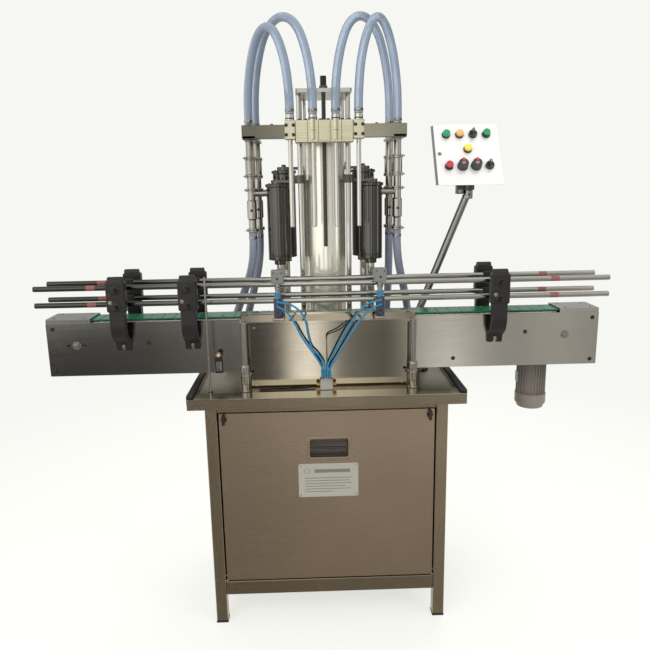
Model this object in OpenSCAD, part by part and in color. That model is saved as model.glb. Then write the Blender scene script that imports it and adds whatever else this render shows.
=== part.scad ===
// Four-head piston liquid filler: a cabinet with a drip-tray table, a slat conveyor
// across it, and a filling head on guide shafts behind the conveyor.
// Millimetres, +Z up. The origin is on the floor under the middle of the table.
// The conveyor runs along X and the operator stands on the -Y side.

/* [Cabinet] */
// Width of the table top
table_w = 852; // [820:2:900]
// Depth of the table top
table_d = 600; // [560:2:640]
// Height of the table rim above the floor
table_z = 823; // [800:1:850]
// Width of the cabinet frame
cab_w = 774; // [740:2:780]
// Side of the square frame tube
leg = 38; // [34:1:42]

/* [Conveyor] */
// Length of the conveyor side plates
conv_l = 1750; // [1700:10:1780]
// Distance between the outer faces of the side plates
conv_w = 110; // [108:1:116]
// Height of the top edge of the side plates
plate_top = 1040; // [1036:1:1044]
// Depth of the side plates
plate_h = 171; // [165:1:175]
// Width of the slat belt
belt_w = 84; // [80:1:86]
// Radius of the sprockets under the slats
sprocket_r = 72; // [70:1:73]

/* [Guide rails] */
// Length of each guide rod
rail_l = 1800; // [1780:10:1840]
// Diameter of each guide rod
rail_d = 17; // [14:1:18]
// Height of the lower guide rods
rail_low = 1098; // [1092:1:1104]
// Height of the upper guide rods
rail_high = 1150; // [1142:1:1158]

/* [Filling head] */
// Sideways place of the head's middle
head_x = 10; // [0:1:20]
// Spacing of the nozzles
nozzle_pitch = 70; // [66:1:74]
// Diameter of a nozzle tube
nozzle_d = 14; // [10:1:16]
// Height of the nozzle tips
tip_z = 1322; // [1300:1:1340]
// Diameter of the column cover
column_d = 139; // [136:1:142]
// Diameter of the four guide shafts
shaft_d = 17; // [14:1:18]
// Diameter of the product hoses
hose_d = 27; // [24:1:28]

/* [Metering] */
// Diameter of a metering cylinder
barrel_d = 76; // [72:1:80]
// Stroke of the pistons
stroke = 100; // [60:5:100]
// Diameter of a piston rod
rod_d = 25; // [20:1:26]

/* [Controls] */
// Width of the control box
box_w = 215; // [205:1:225]
// Length of the control box face, bottom to top
box_l = 230; // [220:1:236]
// Backward lean of the control box face in degrees
box_lean = 30; // [20:1:35]

/* [Hidden] */
$fn = 48;

steel = "silver";
dark = "dimgray";
black = "#202022";

// Cabinet
rim_h = 34;
floor_z = table_z - 6;
front_rim = 60;
side_rim = 22;
sheet = 2;
cab_front = -220;
cab_back = 260;
cab_x = cab_w / 2;
frame_top = floor_z - 5;
rail_z = [105, 155];
top_rail_z = [750, 789];
pad_h = 6;
door_x = cab_x - leg - 5;
door_z = [160, 748];
door_t = 18;
pivot_out = 4.5;
latch_x = 328;
latch_z = 730;
handle_x = [-65, 74];
handle_z = [585, 663];

// Conveyor
conv_y = -112;
plate_t = 3;
conv_front = conv_y - conv_w / 2;
conv_rear = conv_y + conv_w / 2;
conv_x = conv_l / 2;
belt_t = 10;
shaft_z = plate_top - sprocket_r;
drive_x = 768;
idler_x = -784;
conv_shaft_d = 25;
run_gap = 0.05;
cover_z = [plate_top + belt_t + 1, plate_top + belt_t + 3];
cover_left = [-conv_x, -736];
cover_right = [750, conv_x];

// Gearmotor
motor_x = drive_x - 50;
motor_y = -22;
motor_z = [680, 862];

// Guide rails
bracket_x = [-634, -418, 540];
bracket_foot_z = 951;
arm_d = 12;
head_out = [26, 58];

// Filling station
box_x = [head_x - 246, head_x + 246];
box_front = -205;
post_dx = 262;
post_y = -222;
stop_x = [head_x - 154, head_x + 160];
stop_y = -200;
pin_z = 1071;
air_port_z = [1090, 1104];

// Head
shaft_front = [77, -20];
shaft_rear = [64, 100];
column_y = 40;
base_z = [floor_z, floor_z + 12];
top_z = [1728, 1740];
bar_z = [1590, 1630];
head_z = [1576, 1643];
deck_z = [1588, 1604];
spindle_d = 14;
spindle_y = -60;
spindle_z = [1255, 1740.3];
collar_z = [1643, 1662];
tube_top = 1642;

// Metering: [distance from the head's middle, y, top of the barrel]
cylinders = [[152, 5, 1456], [135, 100, 1500]];
columns = [[240, 5], [225, 100]];
barrel_z = 1208;
cap_t = 14;
piston_z = [1226, 1256];
port_z = 1427;
port_out = 45;
valve_d = 25;
valve_z = [1302, tube_top];
beam_z = [665, 695];
cyl_base = [157, 167];
cyl_body = [300, 620];

// Product manifold
header_y = 190;
header_z = 880;
header_d = 51;
header_x = [-370, 345];
inlet_l = 40;
spigot_top = 925;
spigots = [[-330, header_y], [-280, header_y], [235, header_y], [320, header_y]];

// Control box: the lower front edge of its face, and the swivel
box_edge = [490, -20, 1442];
box_d = 45;
swivel = [486, 6];
neck_z = 1425;
arm_foot = [322, 6];
button_pitch = 45;
rows = [190, 133, 70];

// Hose routes, from the fitting outwards; x counts from the head's middle
upper_front = [[240, 5, 1642], [240, 5, 1690], [238, 4, 1745], [232, 0, 1800], [223, -8, 1850],
    [210, -20, 1895], [193, -37, 1930], [172, -58, 1945], [151, -79, 1930], [134, -94, 1895],
    [121, -104, 1850], [112, -110, 1800], [107, -112, 1745], [105, -112, 1700],
    [105, -112, 1662]];
upper_front_left = [[240, 5, 1642], [240, 5, 1690], [238, 4, 1740], [232, 0, 1790], [223, -8, 1836],
    [210, -20, 1878], [193, -37, 1908], [172, -58, 1920], [151, -79, 1908], [134, -94, 1876],
    [121, -104, 1834], [112, -110, 1788], [107, -112, 1740], [105, -112, 1700],
    [105, -112, 1662]];
upper_rear = [[225, 100, 1642], [225, 100, 1690], [223, 98, 1745], [216, 91, 1805], [203, 78, 1865],
    [185, 58, 1915], [160, 30, 1948], [130, -4, 1960], [100, -38, 1948], [75, -66, 1915],
    [57, -87, 1865], [44, -100, 1805], [37, -109, 1745], [35, -112, 1700], [35, -112, 1662]];
suction_left_front = [[-240, 5, 1302], [-240, 5, 1260], [-244, 8, 1210], [-256, 18, 1160],
    [-275, 40, 1110], [-296, 72, 1060], [-315, 110, 1015], [-330, 148, 985], [-338, 176, 960],
    [-340, 190, 942], [-340, 190, 925]];
suction_left_rear = [[-225, 100, 1302], [-225, 100, 1260], [-228, 102, 1210], [-236, 108, 1160],
    [-249, 120, 1110], [-263, 138, 1060], [-276, 158, 1015], [-285, 176, 980], [-290, 188, 955],
    [-290, 190, 940], [-290, 190, 925]];
suction_right_rear = [[225, 100, 1302], [225, 100, 1260], [225, 102, 1210], [225, 108, 1160],
    [225, 120, 1110], [225, 138, 1060], [225, 158, 1015], [225, 176, 980], [225, 188, 955],
    [225, 190, 940], [225, 190, 925]];
suction_right_front = [[240, 5, 1302], [240, 5, 1260], [244, 8, 1210], [254, 22, 1160],
    [268, 48, 1110], [282, 80, 1060], [294, 116, 1015], [303, 150, 985], [309, 176, 960],
    [310, 190, 942], [310, 190, 925]];

// Air tubes and cables on the filling station
air_d = 6;
cable_d = 4;
air_left_outer = [[-12, -224, 875], [-12, -224, 890], [-18, -225, 905], [-32, -227, 930],
    [-55, -230, 965], [-76, -233, 1000], [-92, -236, 1035], [-108, -237, 1062], [-124, -236, 1080],
    [-144, -231, 1090], [-144, -226, 1090]];
air_left_inner = [[-4, -224, 875], [-4, -224, 893], [-8, -224, 910], [-24, -225, 935],
    [-44, -226, 960], [-54, -228, 1000], [-60, -231, 1040], [-76, -236, 1075],
    [-106, -240, 1098], [-134, -238, 1104], [-144, -231, 1104], [-144, -226, 1104]];
air_right_inner = [[4, -224, 875], [4, -224, 893], [10, -224, 912], [24, -225, 940],
    [42, -227, 975], [62, -230, 1010], [84, -234, 1045], [108, -239, 1078], [134, -242, 1098],
    [158, -238, 1104], [170, -231, 1104], [170, -226, 1104]];
air_right_outer = [[12, -224, 875], [12, -224, 890], [20, -225, 906], [38, -227, 935],
    [60, -230, 972], [82, -233, 1008], [104, -236, 1042], [126, -238, 1068], [148, -237, 1084],
    [170, -231, 1090], [170, -226, 1090]];
cable_floor = [[-20, -217, 828], [-30, -217, 828], [-50, -218, 821], [-90, -220, 819.5],
    [-130, -215, 819.5], [-170, -213, 819.5], [-212, -209, 819.5]];
cable_probe = [[3, -215, 984], [3, -215, 992], [10, -217, 1000], [30, -221, 1008], [50, -225, 1020],
    [72, -228, 1042], [96, -229, 1066], [118, -227, 1080], [146, -216, 1080], [156, -216, 1080]];

module slab(x, y, z) {
    translate([x[0], y[0], z[0]]) cube([x[1] - x[0], y[1] - y[0], z[1] - z[0]]);
}

module rod_x(d, x, y, z) {
    translate([x[0], y, z]) rotate([0, 90, 0]) cylinder(d = d, h = x[1] - x[0]);
}

module rod_y(d, x, y, z) {
    translate([x, y[0], z]) rotate([-90, 0, 0]) cylinder(d = d, h = y[1] - y[0]);
}

module rod_z(d, x, y, z) {
    translate([x, y, z[0]]) cylinder(d = d, h = z[1] - z[0]);
}

module pipe_z(d, wall, x, y, z) {
    difference() {
        rod_z(d, x, y, z);
        rod_z(d - 2 * wall, x, y, [z[0] - 1, z[1] + 1]);
    }
}

// Hexagon screw head standing on z
module hex_z(across, x, y, z) {
    translate([x, y, z[0]]) cylinder(d = across / cos(30), h = z[1] - z[0], $fn = 6);
}

// Hexagon screw head whose axis runs along Y
module hex_y(across, x, y, z) {
    translate([x, y[0], z]) rotate([-90, 0, 0]) cylinder(d = across / cos(30), h = y[1] - y[0], $fn = 6);
}

// Profile given as [y, z] points, extruded along X
module profile_x(points, x) {
    translate([x[0], 0, 0]) rotate([90, 0, 90]) linear_extrude(x[1] - x[0]) polygon(points);
}

function unit(v) = v / norm(v);
function along(path, i) = unit(path[min(i + 1, len(path) - 1)] - path[max(i - 1, 0)]);
function shifted(path, dx, sign = 1) = [for (p = path) [dx + sign * p[0], p[1], p[2]]];

// Ring of points round c, square to the direction t; n is any direction off t
function ring(c, t, n, r, sides) =
    let (u = unit(cross(t, n)), w = cross(t, u))
    [for (k = [0 : sides - 1]) c + r * (cos(360 * k / sides) * u + sin(360 * k / sides) * w)];

// Round tube swept along a path
module swept(path, d, n, sides = 12) {
    last = len(path) - 1;
    rings = [for (i = [0 : last]) ring(path[i], along(path, i), n, d / 2, sides)];
    walls = [for (i = [0 : last - 1]) for (k = [0 : sides - 1])
        let (a = i * sides + k, b = i * sides + (k + 1) % sides)
        each [[a, b + sides, b], [a, a + sides, b + sides]]];
    first_cap = [for (k = [0 : sides - 1]) k];
    last_cap = [for (k = [sides - 1 : -1 : 0]) last * sides + k];
    polyhedron(points = [for (r = rings) each r], faces = concat([first_cap], walls, [last_cap]));
}

// ---------------------------------------------------------------- cabinet

module tube_z(x, y, z) {
    difference() {
        slab([x, x + leg], [y, y + leg], z);
        slab([x + sheet, x + leg - sheet], [y + sheet, y + leg - sheet], [z[0] - 1, z[1] + 1]);
    }
}

module frame() {
    color(steel) {
        for (x = [-cab_x, cab_x - leg])
            for (y = [cab_front, cab_back - leg])
                tube_z(x, y, [pad_h, frame_top]);
        inner_x = [-cab_x + leg, cab_x - leg];
        inner_y = [cab_front + leg, cab_back - leg];
        for (z = [rail_z, top_rail_z]) {
            for (y = [cab_front, cab_back - leg])
                slab(inner_x, [y, y + leg], z);
            for (x = [-cab_x, cab_x - leg])
                slab([x, x + leg], inner_y, z);
        }
    }
}

module feet() {
    color(black)
        for (x = [-cab_x, cab_x - leg])
            for (y = [cab_front, cab_back - leg])
                slab([x - 1, x + leg + 1], [y - 1, y + leg + 1], [0, pad_h]);
}

module front_panel() {
    y = cab_front;
    color("#8d7b69") difference() {
        slab([-door_x, door_x], [y, y + door_t], door_z);
        slab([-door_x + sheet, door_x - sheet], [y + sheet, y + door_t + 1],
            [door_z[0] + sheet, door_z[1] - sheet]);
        slab([handle_x[0] + 5, handle_x[1] - 5], [y - 1, y + sheet + 1],
            [handle_z[0] + 5, handle_z[1] - 5]);
        for (x = [-latch_x, latch_x])
            rod_y(10 + 2 * run_gap, x, [y - 1, y + sheet + 1], latch_z);
    }
    color(steel)
        for (x = [[-door_x - pivot_out, -door_x + 4], [door_x - 4, door_x + pivot_out]])
            rod_x(5, x, y, door_z[0]);
}

module pull_handle() {
    y = cab_front;
    x = [handle_x[0] + 5.2, handle_x[1] - 5.2];
    z = [handle_z[0] + 5.2, handle_z[1] - 5.2];
    middle = (z[0] + z[1]) / 2;
    color(dark) {
        difference() {
            union() {
                slab(handle_x, [y - 3, y], handle_z);
                slab(x, [y, y + 34], z);
            }
            slab([x[0] + sheet, x[1] - sheet], [y - 4, y + 32], [z[0] + sheet, z[1] - sheet]);
        }
        slab([x[0] + 1, x[1] - 1], [y - 2, y + 6], [middle - 5, middle + 5]);
    }
}

module name_plate() {
    color("#cdd6cc") slab([-96, 98], [cab_front - 1, cab_front], [455, 571]);
}

module latch(x) {
    y = cab_front;
    color("#3a2620") {
        rod_y(20, x, [y - 6, y - 0.3], latch_z);
        slab([x - 5, x + 5], [y - 16, y - 6], [latch_z - 17, latch_z + 17]);
        rod_y(10, x, [y - 1, y + 14], latch_z);
        slab([x - 6, x + 6], [y + 9, y + 12], [latch_z - 26, latch_z + 6]);
    }
}

module latch_left() latch(-latch_x);

module latch_right() latch(latch_x);

module cabinet_panels() {
    inset = 4;
    z = [rail_z[1], top_rail_z[0]];
    y = [cab_front + leg, cab_back - leg];
    color("#9a8c7c") {
        for (x = [-cab_x + inset, cab_x - inset - sheet])
            slab([x, x + sheet], y, z);
        slab([-cab_x + leg, cab_x - leg], [cab_back - inset - sheet, cab_back - inset], z);
        slab([-cab_x + leg, cab_x - leg], [cab_front + leg + 8, cab_back - leg], [z[0], z[0] + sheet]);
    }
}

module table_tray() {
    x = table_w / 2;
    y = table_d / 2;
    skin = 3;
    color(steel) difference() {
        slab([-x, x], [-y, y], [table_z - rim_h, table_z]);
        slab([-x + side_rim, x - side_rim], [-y + front_rim, y - side_rim], [floor_z, table_z + 1]);
        slab([-x + skin, x - skin], [-y + skin, y - skin], [table_z - rim_h - 1, frame_top]);
        for (c = cylinders)
            for (s = [-1, 1])
                rod_z(rod_d + 8, head_x + s * c[0], c[1], [frame_top - 1, floor_z + 1]);
    }
}

module tray_edging() {
    x = table_w / 2;
    y = table_d / 2 - 12;
    color(black)
        for (m = [0, 1])
            mirror([m, 0, 0]) difference() {
                slab([x - 17, x + 3], [-y, y], [table_z - 22, table_z + 9]);
                slab([x - 18, x], [-y - 1, y + 1], [table_z - 23, table_z]);
            }
}

// ---------------------------------------------------------------- conveyor

module side_plate(y, out) {
    x = [-conv_x, conv_x];
    lip = 12;
    y_lip = out < 0 ? [y + plate_t, y + plate_t + lip] : [y - lip, y];
    difference() {
        union() {
            slab(x, [y, y + plate_t], [plate_top - plate_h, plate_top]);
            slab(x, y_lip, [plate_top - plate_h, plate_top - plate_h + plate_t]);
        }
        for (px = [idler_x, drive_x])
            rod_y(11, px, [y - 1, y + plate_t + 1], shaft_z);
        for (px = [idler_x - 30, idler_x + 18])
            slab([px, px + 12], [y - 1, y + plate_t + 1], [shaft_z - 3, shaft_z + 3]);
    }
    head_y = out < 0 ? [y - 4, y] : [y + plate_t, y + plate_t + 4];
    for (p = [[-conv_x + 20, plate_top - 18], [-conv_x + 20, plate_top - plate_h + 16],
            [conv_x - 20, plate_top - 18], [conv_x - 20, plate_top - plate_h + 16],
            [-558, 972], [410, 898], [640, 980], [-200, 900]])
        rod_y(9, p[0], head_y, p[1]);
}

module conveyor_front_plate() {
    color(steel) side_plate(conv_front, -1);
}

module conveyor_rear_plate() {
    color(steel) side_plate(conv_rear - plate_t, 1);
}

module conveyor_bed() {
    y = [conv_front + plate_t, conv_rear - plate_t];
    color(steel)
        for (x = [-600, -300, 0, 300, 600])
            rod_y(18, x, y, plate_top - 20);
    color("ivory")
        for (dy = [-34, 24])
            slab([idler_x + 20, drive_x - 20], [conv_y + dy, conv_y + dy + 10],
                [plate_top - 12, plate_top - 0.3]);
}

module end_cover(x, inner_end) {
    y = [conv_front + plate_t + 0.2, conv_rear - plate_t - 0.2];
    end = inner_end > 0 ? [x[0], x[0] + sheet] : [x[1] - sheet, x[1]];
    slab(x, y, cover_z);
    for (w = [[y[0], y[0] + sheet], [y[1] - sheet, y[1]]])
        slab(x, w, [plate_top - 30, cover_z[1]]);
    slab(end, y, [plate_top - plate_h + 4, cover_z[1]]);
}

module end_covers() {
    color(steel) {
        end_cover(cover_left, 1);
        end_cover(cover_right, -1);
    }
}

module loop_solid(r, y) {
    rod_y(2 * r, idler_x, y, shaft_z);
    rod_y(2 * r, drive_x, y, shaft_z);
    slab([idler_x, drive_x], y, [shaft_z - r, shaft_z + r]);
}

module slat_belt() {
    y = [conv_y - belt_w / 2, conv_y + belt_w / 2];
    color("#1f7d52") difference() {
        loop_solid(sprocket_r + belt_t, y);
        loop_solid(sprocket_r, [y[0] - 1, y[1] + 1]);
    }
}

module sprocket_shaft(x) {
    teeth = 12;
    width = 30;
    body_r = sprocket_r - 6;
    rod_y(conv_shaft_d, x, [conv_front + plate_t + 0.3, conv_rear - plate_t - 0.3], shaft_z);
    rod_y(2 * body_r, x, [conv_y - width / 2, conv_y + width / 2], shaft_z);
    for (k = [0 : teeth - 1])
        translate([x, conv_y, shaft_z]) rotate([0, k * 360 / teeth, 0])
            translate([body_r - 2, -6, -5]) cube([7, 12, 10]);
}

module idler_shaft() {
    color(dark) {
        sprocket_shaft(idler_x);
        for (y = [[conv_front - 7, conv_front + plate_t + 1], [conv_rear - plate_t - 1, conv_rear + 7]])
            rod_y(10, idler_x, y, shaft_z);
        hex_y(16, idler_x, [conv_front - 7, conv_front - 0.4], shaft_z);
        hex_y(16, idler_x, [conv_rear + 0.4, conv_rear + 7], shaft_z);
    }
}

module drive_shaft() {
    color(dark) {
        sprocket_shaft(drive_x);
        rod_y(10, drive_x, [conv_front - 5, conv_front + plate_t + 1], shaft_z);
        hex_y(16, drive_x, [conv_front - 6, conv_front - 0.4], shaft_z);
        rod_y(10, drive_x, [conv_rear - plate_t - 1, conv_rear + 60], shaft_z);
    }
}

module shaft_bearings() {
    color(dark)
        for (x = [idler_x, drive_x])
            for (y = [[conv_front + plate_t, conv_front + plate_t + 12],
                    [conv_rear - plate_t - 12, conv_rear - plate_t]])
                difference() {
                    rod_y(52, x, y, shaft_z);
                    rod_y(conv_shaft_d + 2 * run_gap, x, [y[0] - 1, y[1] + 1], shaft_z);
                }
}

module gearbox() {
    y = [conv_rear, conv_rear + 72];
    color("slategray") {
        difference() {
            union() {
                slab([motor_x - 42, drive_x + 44], y, [shaft_z - 42, shaft_z + 42]);
                rod_y(76, drive_x, [y[0], y[1] + 6], shaft_z);
            }
            rod_y(10 + 2 * run_gap, drive_x, [y[0] - 3, y[1] + 8], shaft_z);
        }
        rod_z(58, motor_x, motor_y, [motor_z[1], shaft_z - 41]);
    }
}

module conveyor_motor() {
    fins = 20;
    z0 = motor_z[0];
    z1 = motor_z[1];
    color("#a49a90") {
        rod_z(104, motor_x, motor_y, [z0 + 12, z0 + 52]);
        rod_z(90, motor_x, motor_y, [z0, z0 + 14]);
        rod_z(88, motor_x, motor_y, [z0 + 50, z1 - 10]);
        rod_z(100, motor_x, motor_y, [z1 - 14, z1]);
        for (k = [0 : fins - 1])
            translate([motor_x, motor_y, 0]) rotate([0, 0, k * 360 / fins])
                slab([42, 50], [-1.5, 1.5], [z0 + 51, z1 - 13]);
        slab([motor_x - 30, motor_x + 30], [motor_y + 40, motor_y + 62], [z0 + 70, z1 - 30]);
    }
}

// ---------------------------------------------------------------- guide rails

// One pair of rods with its clamps and adjusting arms. out is -1 for the front
// pair, whose arms reach towards the operator, and 1 for the rear pair.
module rail_pair(y, out) {
    clamp = 26;
    arm_y = out < 0 ? [y - head_out[1] - 22, y - 6] : [y + 6, y + head_out[1] + 22];
    for (z = [rail_low, rail_high]) {
        rod_x(rail_d, [-rail_l / 2, rail_l / 2], y, z);
        for (x = bracket_x) {
            slab([x - clamp / 2, x + clamp / 2], [y - 12, y + 12], [z - clamp / 2, z + clamp / 2]);
            rod_y(arm_d, x, arm_y, z);
        }
    }
}

module rails_front() {
    color("lightgray") rail_pair(conv_front, -1);
}

module rails_rear() {
    color("lightgray") rail_pair(conv_rear, 1);
}

// Swan-neck bracket in [distance out from the side plate, z]
function neck_points() =
    let (r = 40, cz = 1042)
    concat(
        [[0, bracket_foot_z], [10, bracket_foot_z], [16, 975]],
        [for (a = [-50 : 10 : 0]) [r + 22 - r * (1 - cos(a)) - 4, cz + 62 * sin(a)]],
        [[head_out[1], 1072], [head_out[1], 1168], [54, 1180], [46, 1189], [32, 1189],
            [head_out[0], 1180], [head_out[0], 1078]],
        [for (a = [0 : -10 : -50]) [r - 6 - r * (1 - cos(a)), cz + 62 * sin(a)]],
        [[0, 985]]);

module neck(x, y, out) {
    width = 46;
    head = 58;
    difference() {
        union() {
            translate([0, y, 0]) mirror([0, out < 0 ? 1 : 0, 0])
                profile_x(neck_points(), [x - width / 2, x + width / 2]);
            head_y = out < 0 ? [y - head_out[1], y - head_out[0]] : [y + head_out[0], y + head_out[1]];
            slab([x - head / 2, x + head / 2], head_y, [1082, 1176]);
        }
        for (z = [rail_low, rail_high])
            rod_y(arm_d + 2 * run_gap, x, [y - 100, y + 100], z);
        slab([x - 4, x + 4], [y - 30, y + 30], [bracket_foot_z - 1, bracket_foot_z + 22]);
    }
}

module rail_brackets() {
    color(black)
        for (x = bracket_x) {
            neck(x, conv_front - 0.2, -1);
            neck(x, conv_rear + 0.2, 1);
        }
}

// ---------------------------------------------------------------- filling station

module support_posts() {
    socket_d = 30;
    post_d = 18;
    color(steel)
        for (s = [-1, 1]) {
            x = head_x + s * post_dx;
            rod_z(post_d, x, post_y, [floor_z, plate_top]);
            rod_z(socket_d, x, post_y, [floor_z, floor_z + 90]);
            rod_x(8, [x - s * 22 - 4, x - s * 22 + 4], post_y, floor_z + 60);
            rod_x(6, s > 0 ? [x - 24, x - 10] : [x + 10, x + 24], post_y, floor_z + 60);
            slab([x - 9, x + 9], [conv_rear, conv_rear + 14], [floor_z, plate_top - 20]);
        }
}

module station_box() {
    y = box_front;
    flange_x = [box_x[0] - 30, box_x[1] + 30];
    inner_y = conv_front + 8;
    z = [floor_z, plate_top];
    color("#a59f93") {
        slab(box_x, [y, y + sheet], z);
        for (x = [box_x[0], box_x[1] - sheet])
            slab([x, x + sheet], [y, conv_front - 0.4], z);
        slab(flange_x, [y - 8, inner_y], [z[1], z[1] + sheet]);
        slab(flange_x, [y - 8, y - 6], [z[1] - 8, z[1] + sheet]);
        slab(flange_x, [inner_y - sheet, inner_y], [z[1], z[1] + 18]);
        for (x = [head_x - post_dx, head_x + post_dx])
            slab([x - 11, x + 11], [post_y - 10, y], [z[1], z[1] + sheet]);
    }
}

module sensor_post() {
    x = -363;
    color(steel) {
        rod_z(6, x, -226, [floor_z, 1185]);
        rod_z(20, x, -226, [floor_z, floor_z + 10]);
        slab([-350, -324], [conv_front - 28, conv_front], [874, 930]);
        rod_y(18, -337, [conv_front - 31, conv_front - 27], 934);
    }
}

module air_manifold() {
    y = -224;
    color("gray") {
        slab([-20, 20], [y - 11, y + 11], [floor_z, floor_z + 35]);
        slab([-8, 8], [y - 7, y + 7], [floor_z + 35, floor_z + 42]);
    }
    color("goldenrod")
        for (x = [[-32, -20], [20, 32]])
            rod_x(13, x, y, floor_z + 22);
    color("royalblue")
        for (x = [-12, -4, 4, 12])
            rod_z(7.6, x, y, [floor_z + 35, 875]);
    color(steel) rod_z(4, 3, -215, [floor_z + 34, 984]);
}

// Stop cylinder on a foot, with its air ports in front and its switch block above
module stopper(x) {
    y = [stop_y - 24, stop_y + 20];
    post_y = stop_y - 6;
    z = [plate_top + sheet, 1113];
    color("#39415e") difference() {
        union() {
            rod_z(28, x, post_y, [pin_z - 18, z[1]]);
            rod_y(24, x, y, pin_z);
        }
        rod_y(10 + 2 * run_gap, x, [y[0] + 8, y[1] + 1], pin_z);
    }
    color(steel) slab([x - 17, x + 17], [y[0] + 8, y[1]], [z[0], pin_z - 9]);
    color("royalblue")
        for (port = air_port_z)
            rod_y(9, x, [stop_y - 26, post_y - 8], port);
    color("lightgray") {
        rod_z(16, x, post_y, [z[1] - 1, 1159]);
        slab([x - 19, x + 19], [post_y - 15, post_y + 15], [1158, 1200]);
    }
}

module stopper_pin(x) {
    color("silver") {
        rod_y(10, x, [stop_y - 12, conv_front + 9.5], pin_z);
        rod_y(14, x, [conv_front + 4, conv_front + 9.5], pin_z);
    }
}

module stopper_left() stopper(stop_x[0]);

module stopper_left_pin() stopper_pin(stop_x[0]);

module stopper_right() stopper(stop_x[1]);

module stopper_right_pin() stopper_pin(stop_x[1]);

module air_tubes() {
    color("deepskyblue") {
        for (path = [air_left_outer, air_left_inner, air_right_inner, air_right_outer])
            swept(path, air_d, [0, 1, 0.13], 8);
    }
}

module sensor_cables() {
    color(black) {
        swept(cable_floor, cable_d, [0, 1, 0.1], 8);
        swept(cable_probe, cable_d, [0, 1, 0.13], 8);
    }
}

// ---------------------------------------------------------------- filling head

module at_shafts() {
    for (p = [shaft_front, shaft_rear])
        for (s = [-1, 1])
            translate([head_x + s * p[0], p[1], 0]) children();
}

module guide_shafts() {
    color("lightgray") at_shafts() rod_z(shaft_d, 0, 0, [base_z[1], top_z[0]]);
}

module top_plate() {
    color("#d8d4c4") difference() {
        slab([head_x - 87, head_x + 87], [-82, 118], top_z);
        rod_z(spindle_d + 2 * run_gap, head_x, spindle_y, [top_z[0] - 1, top_z[1] + 1]);
    }
    color(dark) at_shafts() rod_z(15, 0, 0, [top_z[1], top_z[1] + 9]);
}

module column_base() {
    color(steel) {
        slab([head_x - 105, head_x + 105], [-50, 150], base_z);
        pipe_z(126, 3, head_x, column_y, [base_z[1], 1300]);
        at_shafts() difference() {
            rod_z(36, 0, 0, [base_z[1], base_z[1] + 40]);
            rod_z(shaft_d + 0.2, 0, 0, [base_z[1] - 1, base_z[1] + 41]);
        }
    }
}

module column_cover() {
    color("#e6e2d2") pipe_z(column_d, 2.5, head_x, column_y, [905, deck_z[0]]);
}

module nozzle_carriage() {
    ear_y = [-130, 118];
    half = 251;
    color("#d6cfb0") difference() {
        union() {
            slab([head_x - half, head_x + half], [-130, -124], bar_z);
            slab([head_x - half, head_x + half], [-130, -94], [bar_z[1] - 8, bar_z[1]]);
            slab([head_x - half, head_x + half], [-130, -94], [bar_z[0], bar_z[0] + 8]);
            slab([head_x - 88, head_x + 88], [-130, -94], head_z);
            slab([head_x - 92, head_x + 92], [-95, 118], deck_z);
            for (s = [-1, 1]) {
                slab(s > 0 ? [head_x + 208, head_x + half] : [head_x - half, head_x - 208],
                    ear_y, [bar_z[0], bar_z[0] + 8]);
                slab([head_x + s * 105 - 16, head_x + s * 105 + 16], [-132, -94], [bar_z[0] - 4, head_z[1]]);
            }
            at_shafts() rod_z(34, 0, 0, [deck_z[1] - 1, deck_z[1] + 26]);
            rod_z(30, head_x, spindle_y, [deck_z[1] - 1, deck_z[1] + 20]);
        }
        for (k = [-1.5 : 1 : 1.5])
            rod_z(nozzle_d + 0.2, head_x + k * nozzle_pitch, conv_y, [1500, 1700]);
        at_shafts() rod_z(shaft_d + 2 * run_gap, 0, 0, [deck_z[0] - 1, deck_z[1] + 30]);
        rod_z(spindle_d + 2 * run_gap, head_x, spindle_y, [deck_z[0] - 1, deck_z[1] + 30]);
        for (c = columns)
            for (s = [-1, 1])
                rod_z(valve_d + 3, head_x + s * c[0], c[1], [bar_z[0] - 1, bar_z[1] + 1]);
    }
    color(dark)
        for (x = [-76, -56, -12, 12, 56, 76])
            hex_z(11, head_x + x, -102, [head_z[1], head_z[1] + 6]);
}

module nozzles() {
    color("lightgray")
        for (k = [-1.5 : 1 : 1.5]) {
            x = head_x + k * nozzle_pitch;
            difference() {
                union() {
                    rod_z(nozzle_d, x, conv_y, [tip_z, collar_z[0] + 1]);
                    rod_z(27, x, conv_y, collar_z);
                }
                rod_z(nozzle_d - 4, x, conv_y, [tip_z - 1, tip_z + 60]);
            }
        }
}

module lift_spindle() {
    color(dark) {
        rod_z(spindle_d, head_x, spindle_y, [spindle_z[0], spindle_z[1] + 1]);
        rod_z(26, head_x, spindle_y, [spindle_z[1], spindle_z[1] + 10]);
        hex_z(19, head_x, spindle_y, [spindle_z[1] + 9, spindle_z[1] + 38]);
    }
}

// ---------------------------------------------------------------- metering

module metering_cylinders() {
    color("#8f959c")
        for (c = cylinders)
            for (s = [-1, 1]) {
                x = head_x + s * c[0];
                difference() {
                    union() {
                        rod_z(barrel_d, x, c[1], [barrel_z, c[2]]);
                        rod_z(barrel_d + 8, x, c[1], [c[2] - 10, c[2]]);
                        rod_z(rod_d + 14, x, c[1], [barrel_z - 16, barrel_z + 1]);
                        rod_x(26, s > 0 ? [x, x + port_out] : [x - port_out, x], c[1], port_z);
                    }
                    rod_z(barrel_d - 6, x, c[1], [barrel_z + cap_t, c[2] - cap_t]);
                    rod_z(rod_d + 2 * run_gap, x, c[1], [barrel_z - 17, barrel_z + cap_t + 1]);
                }
            }
}

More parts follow.
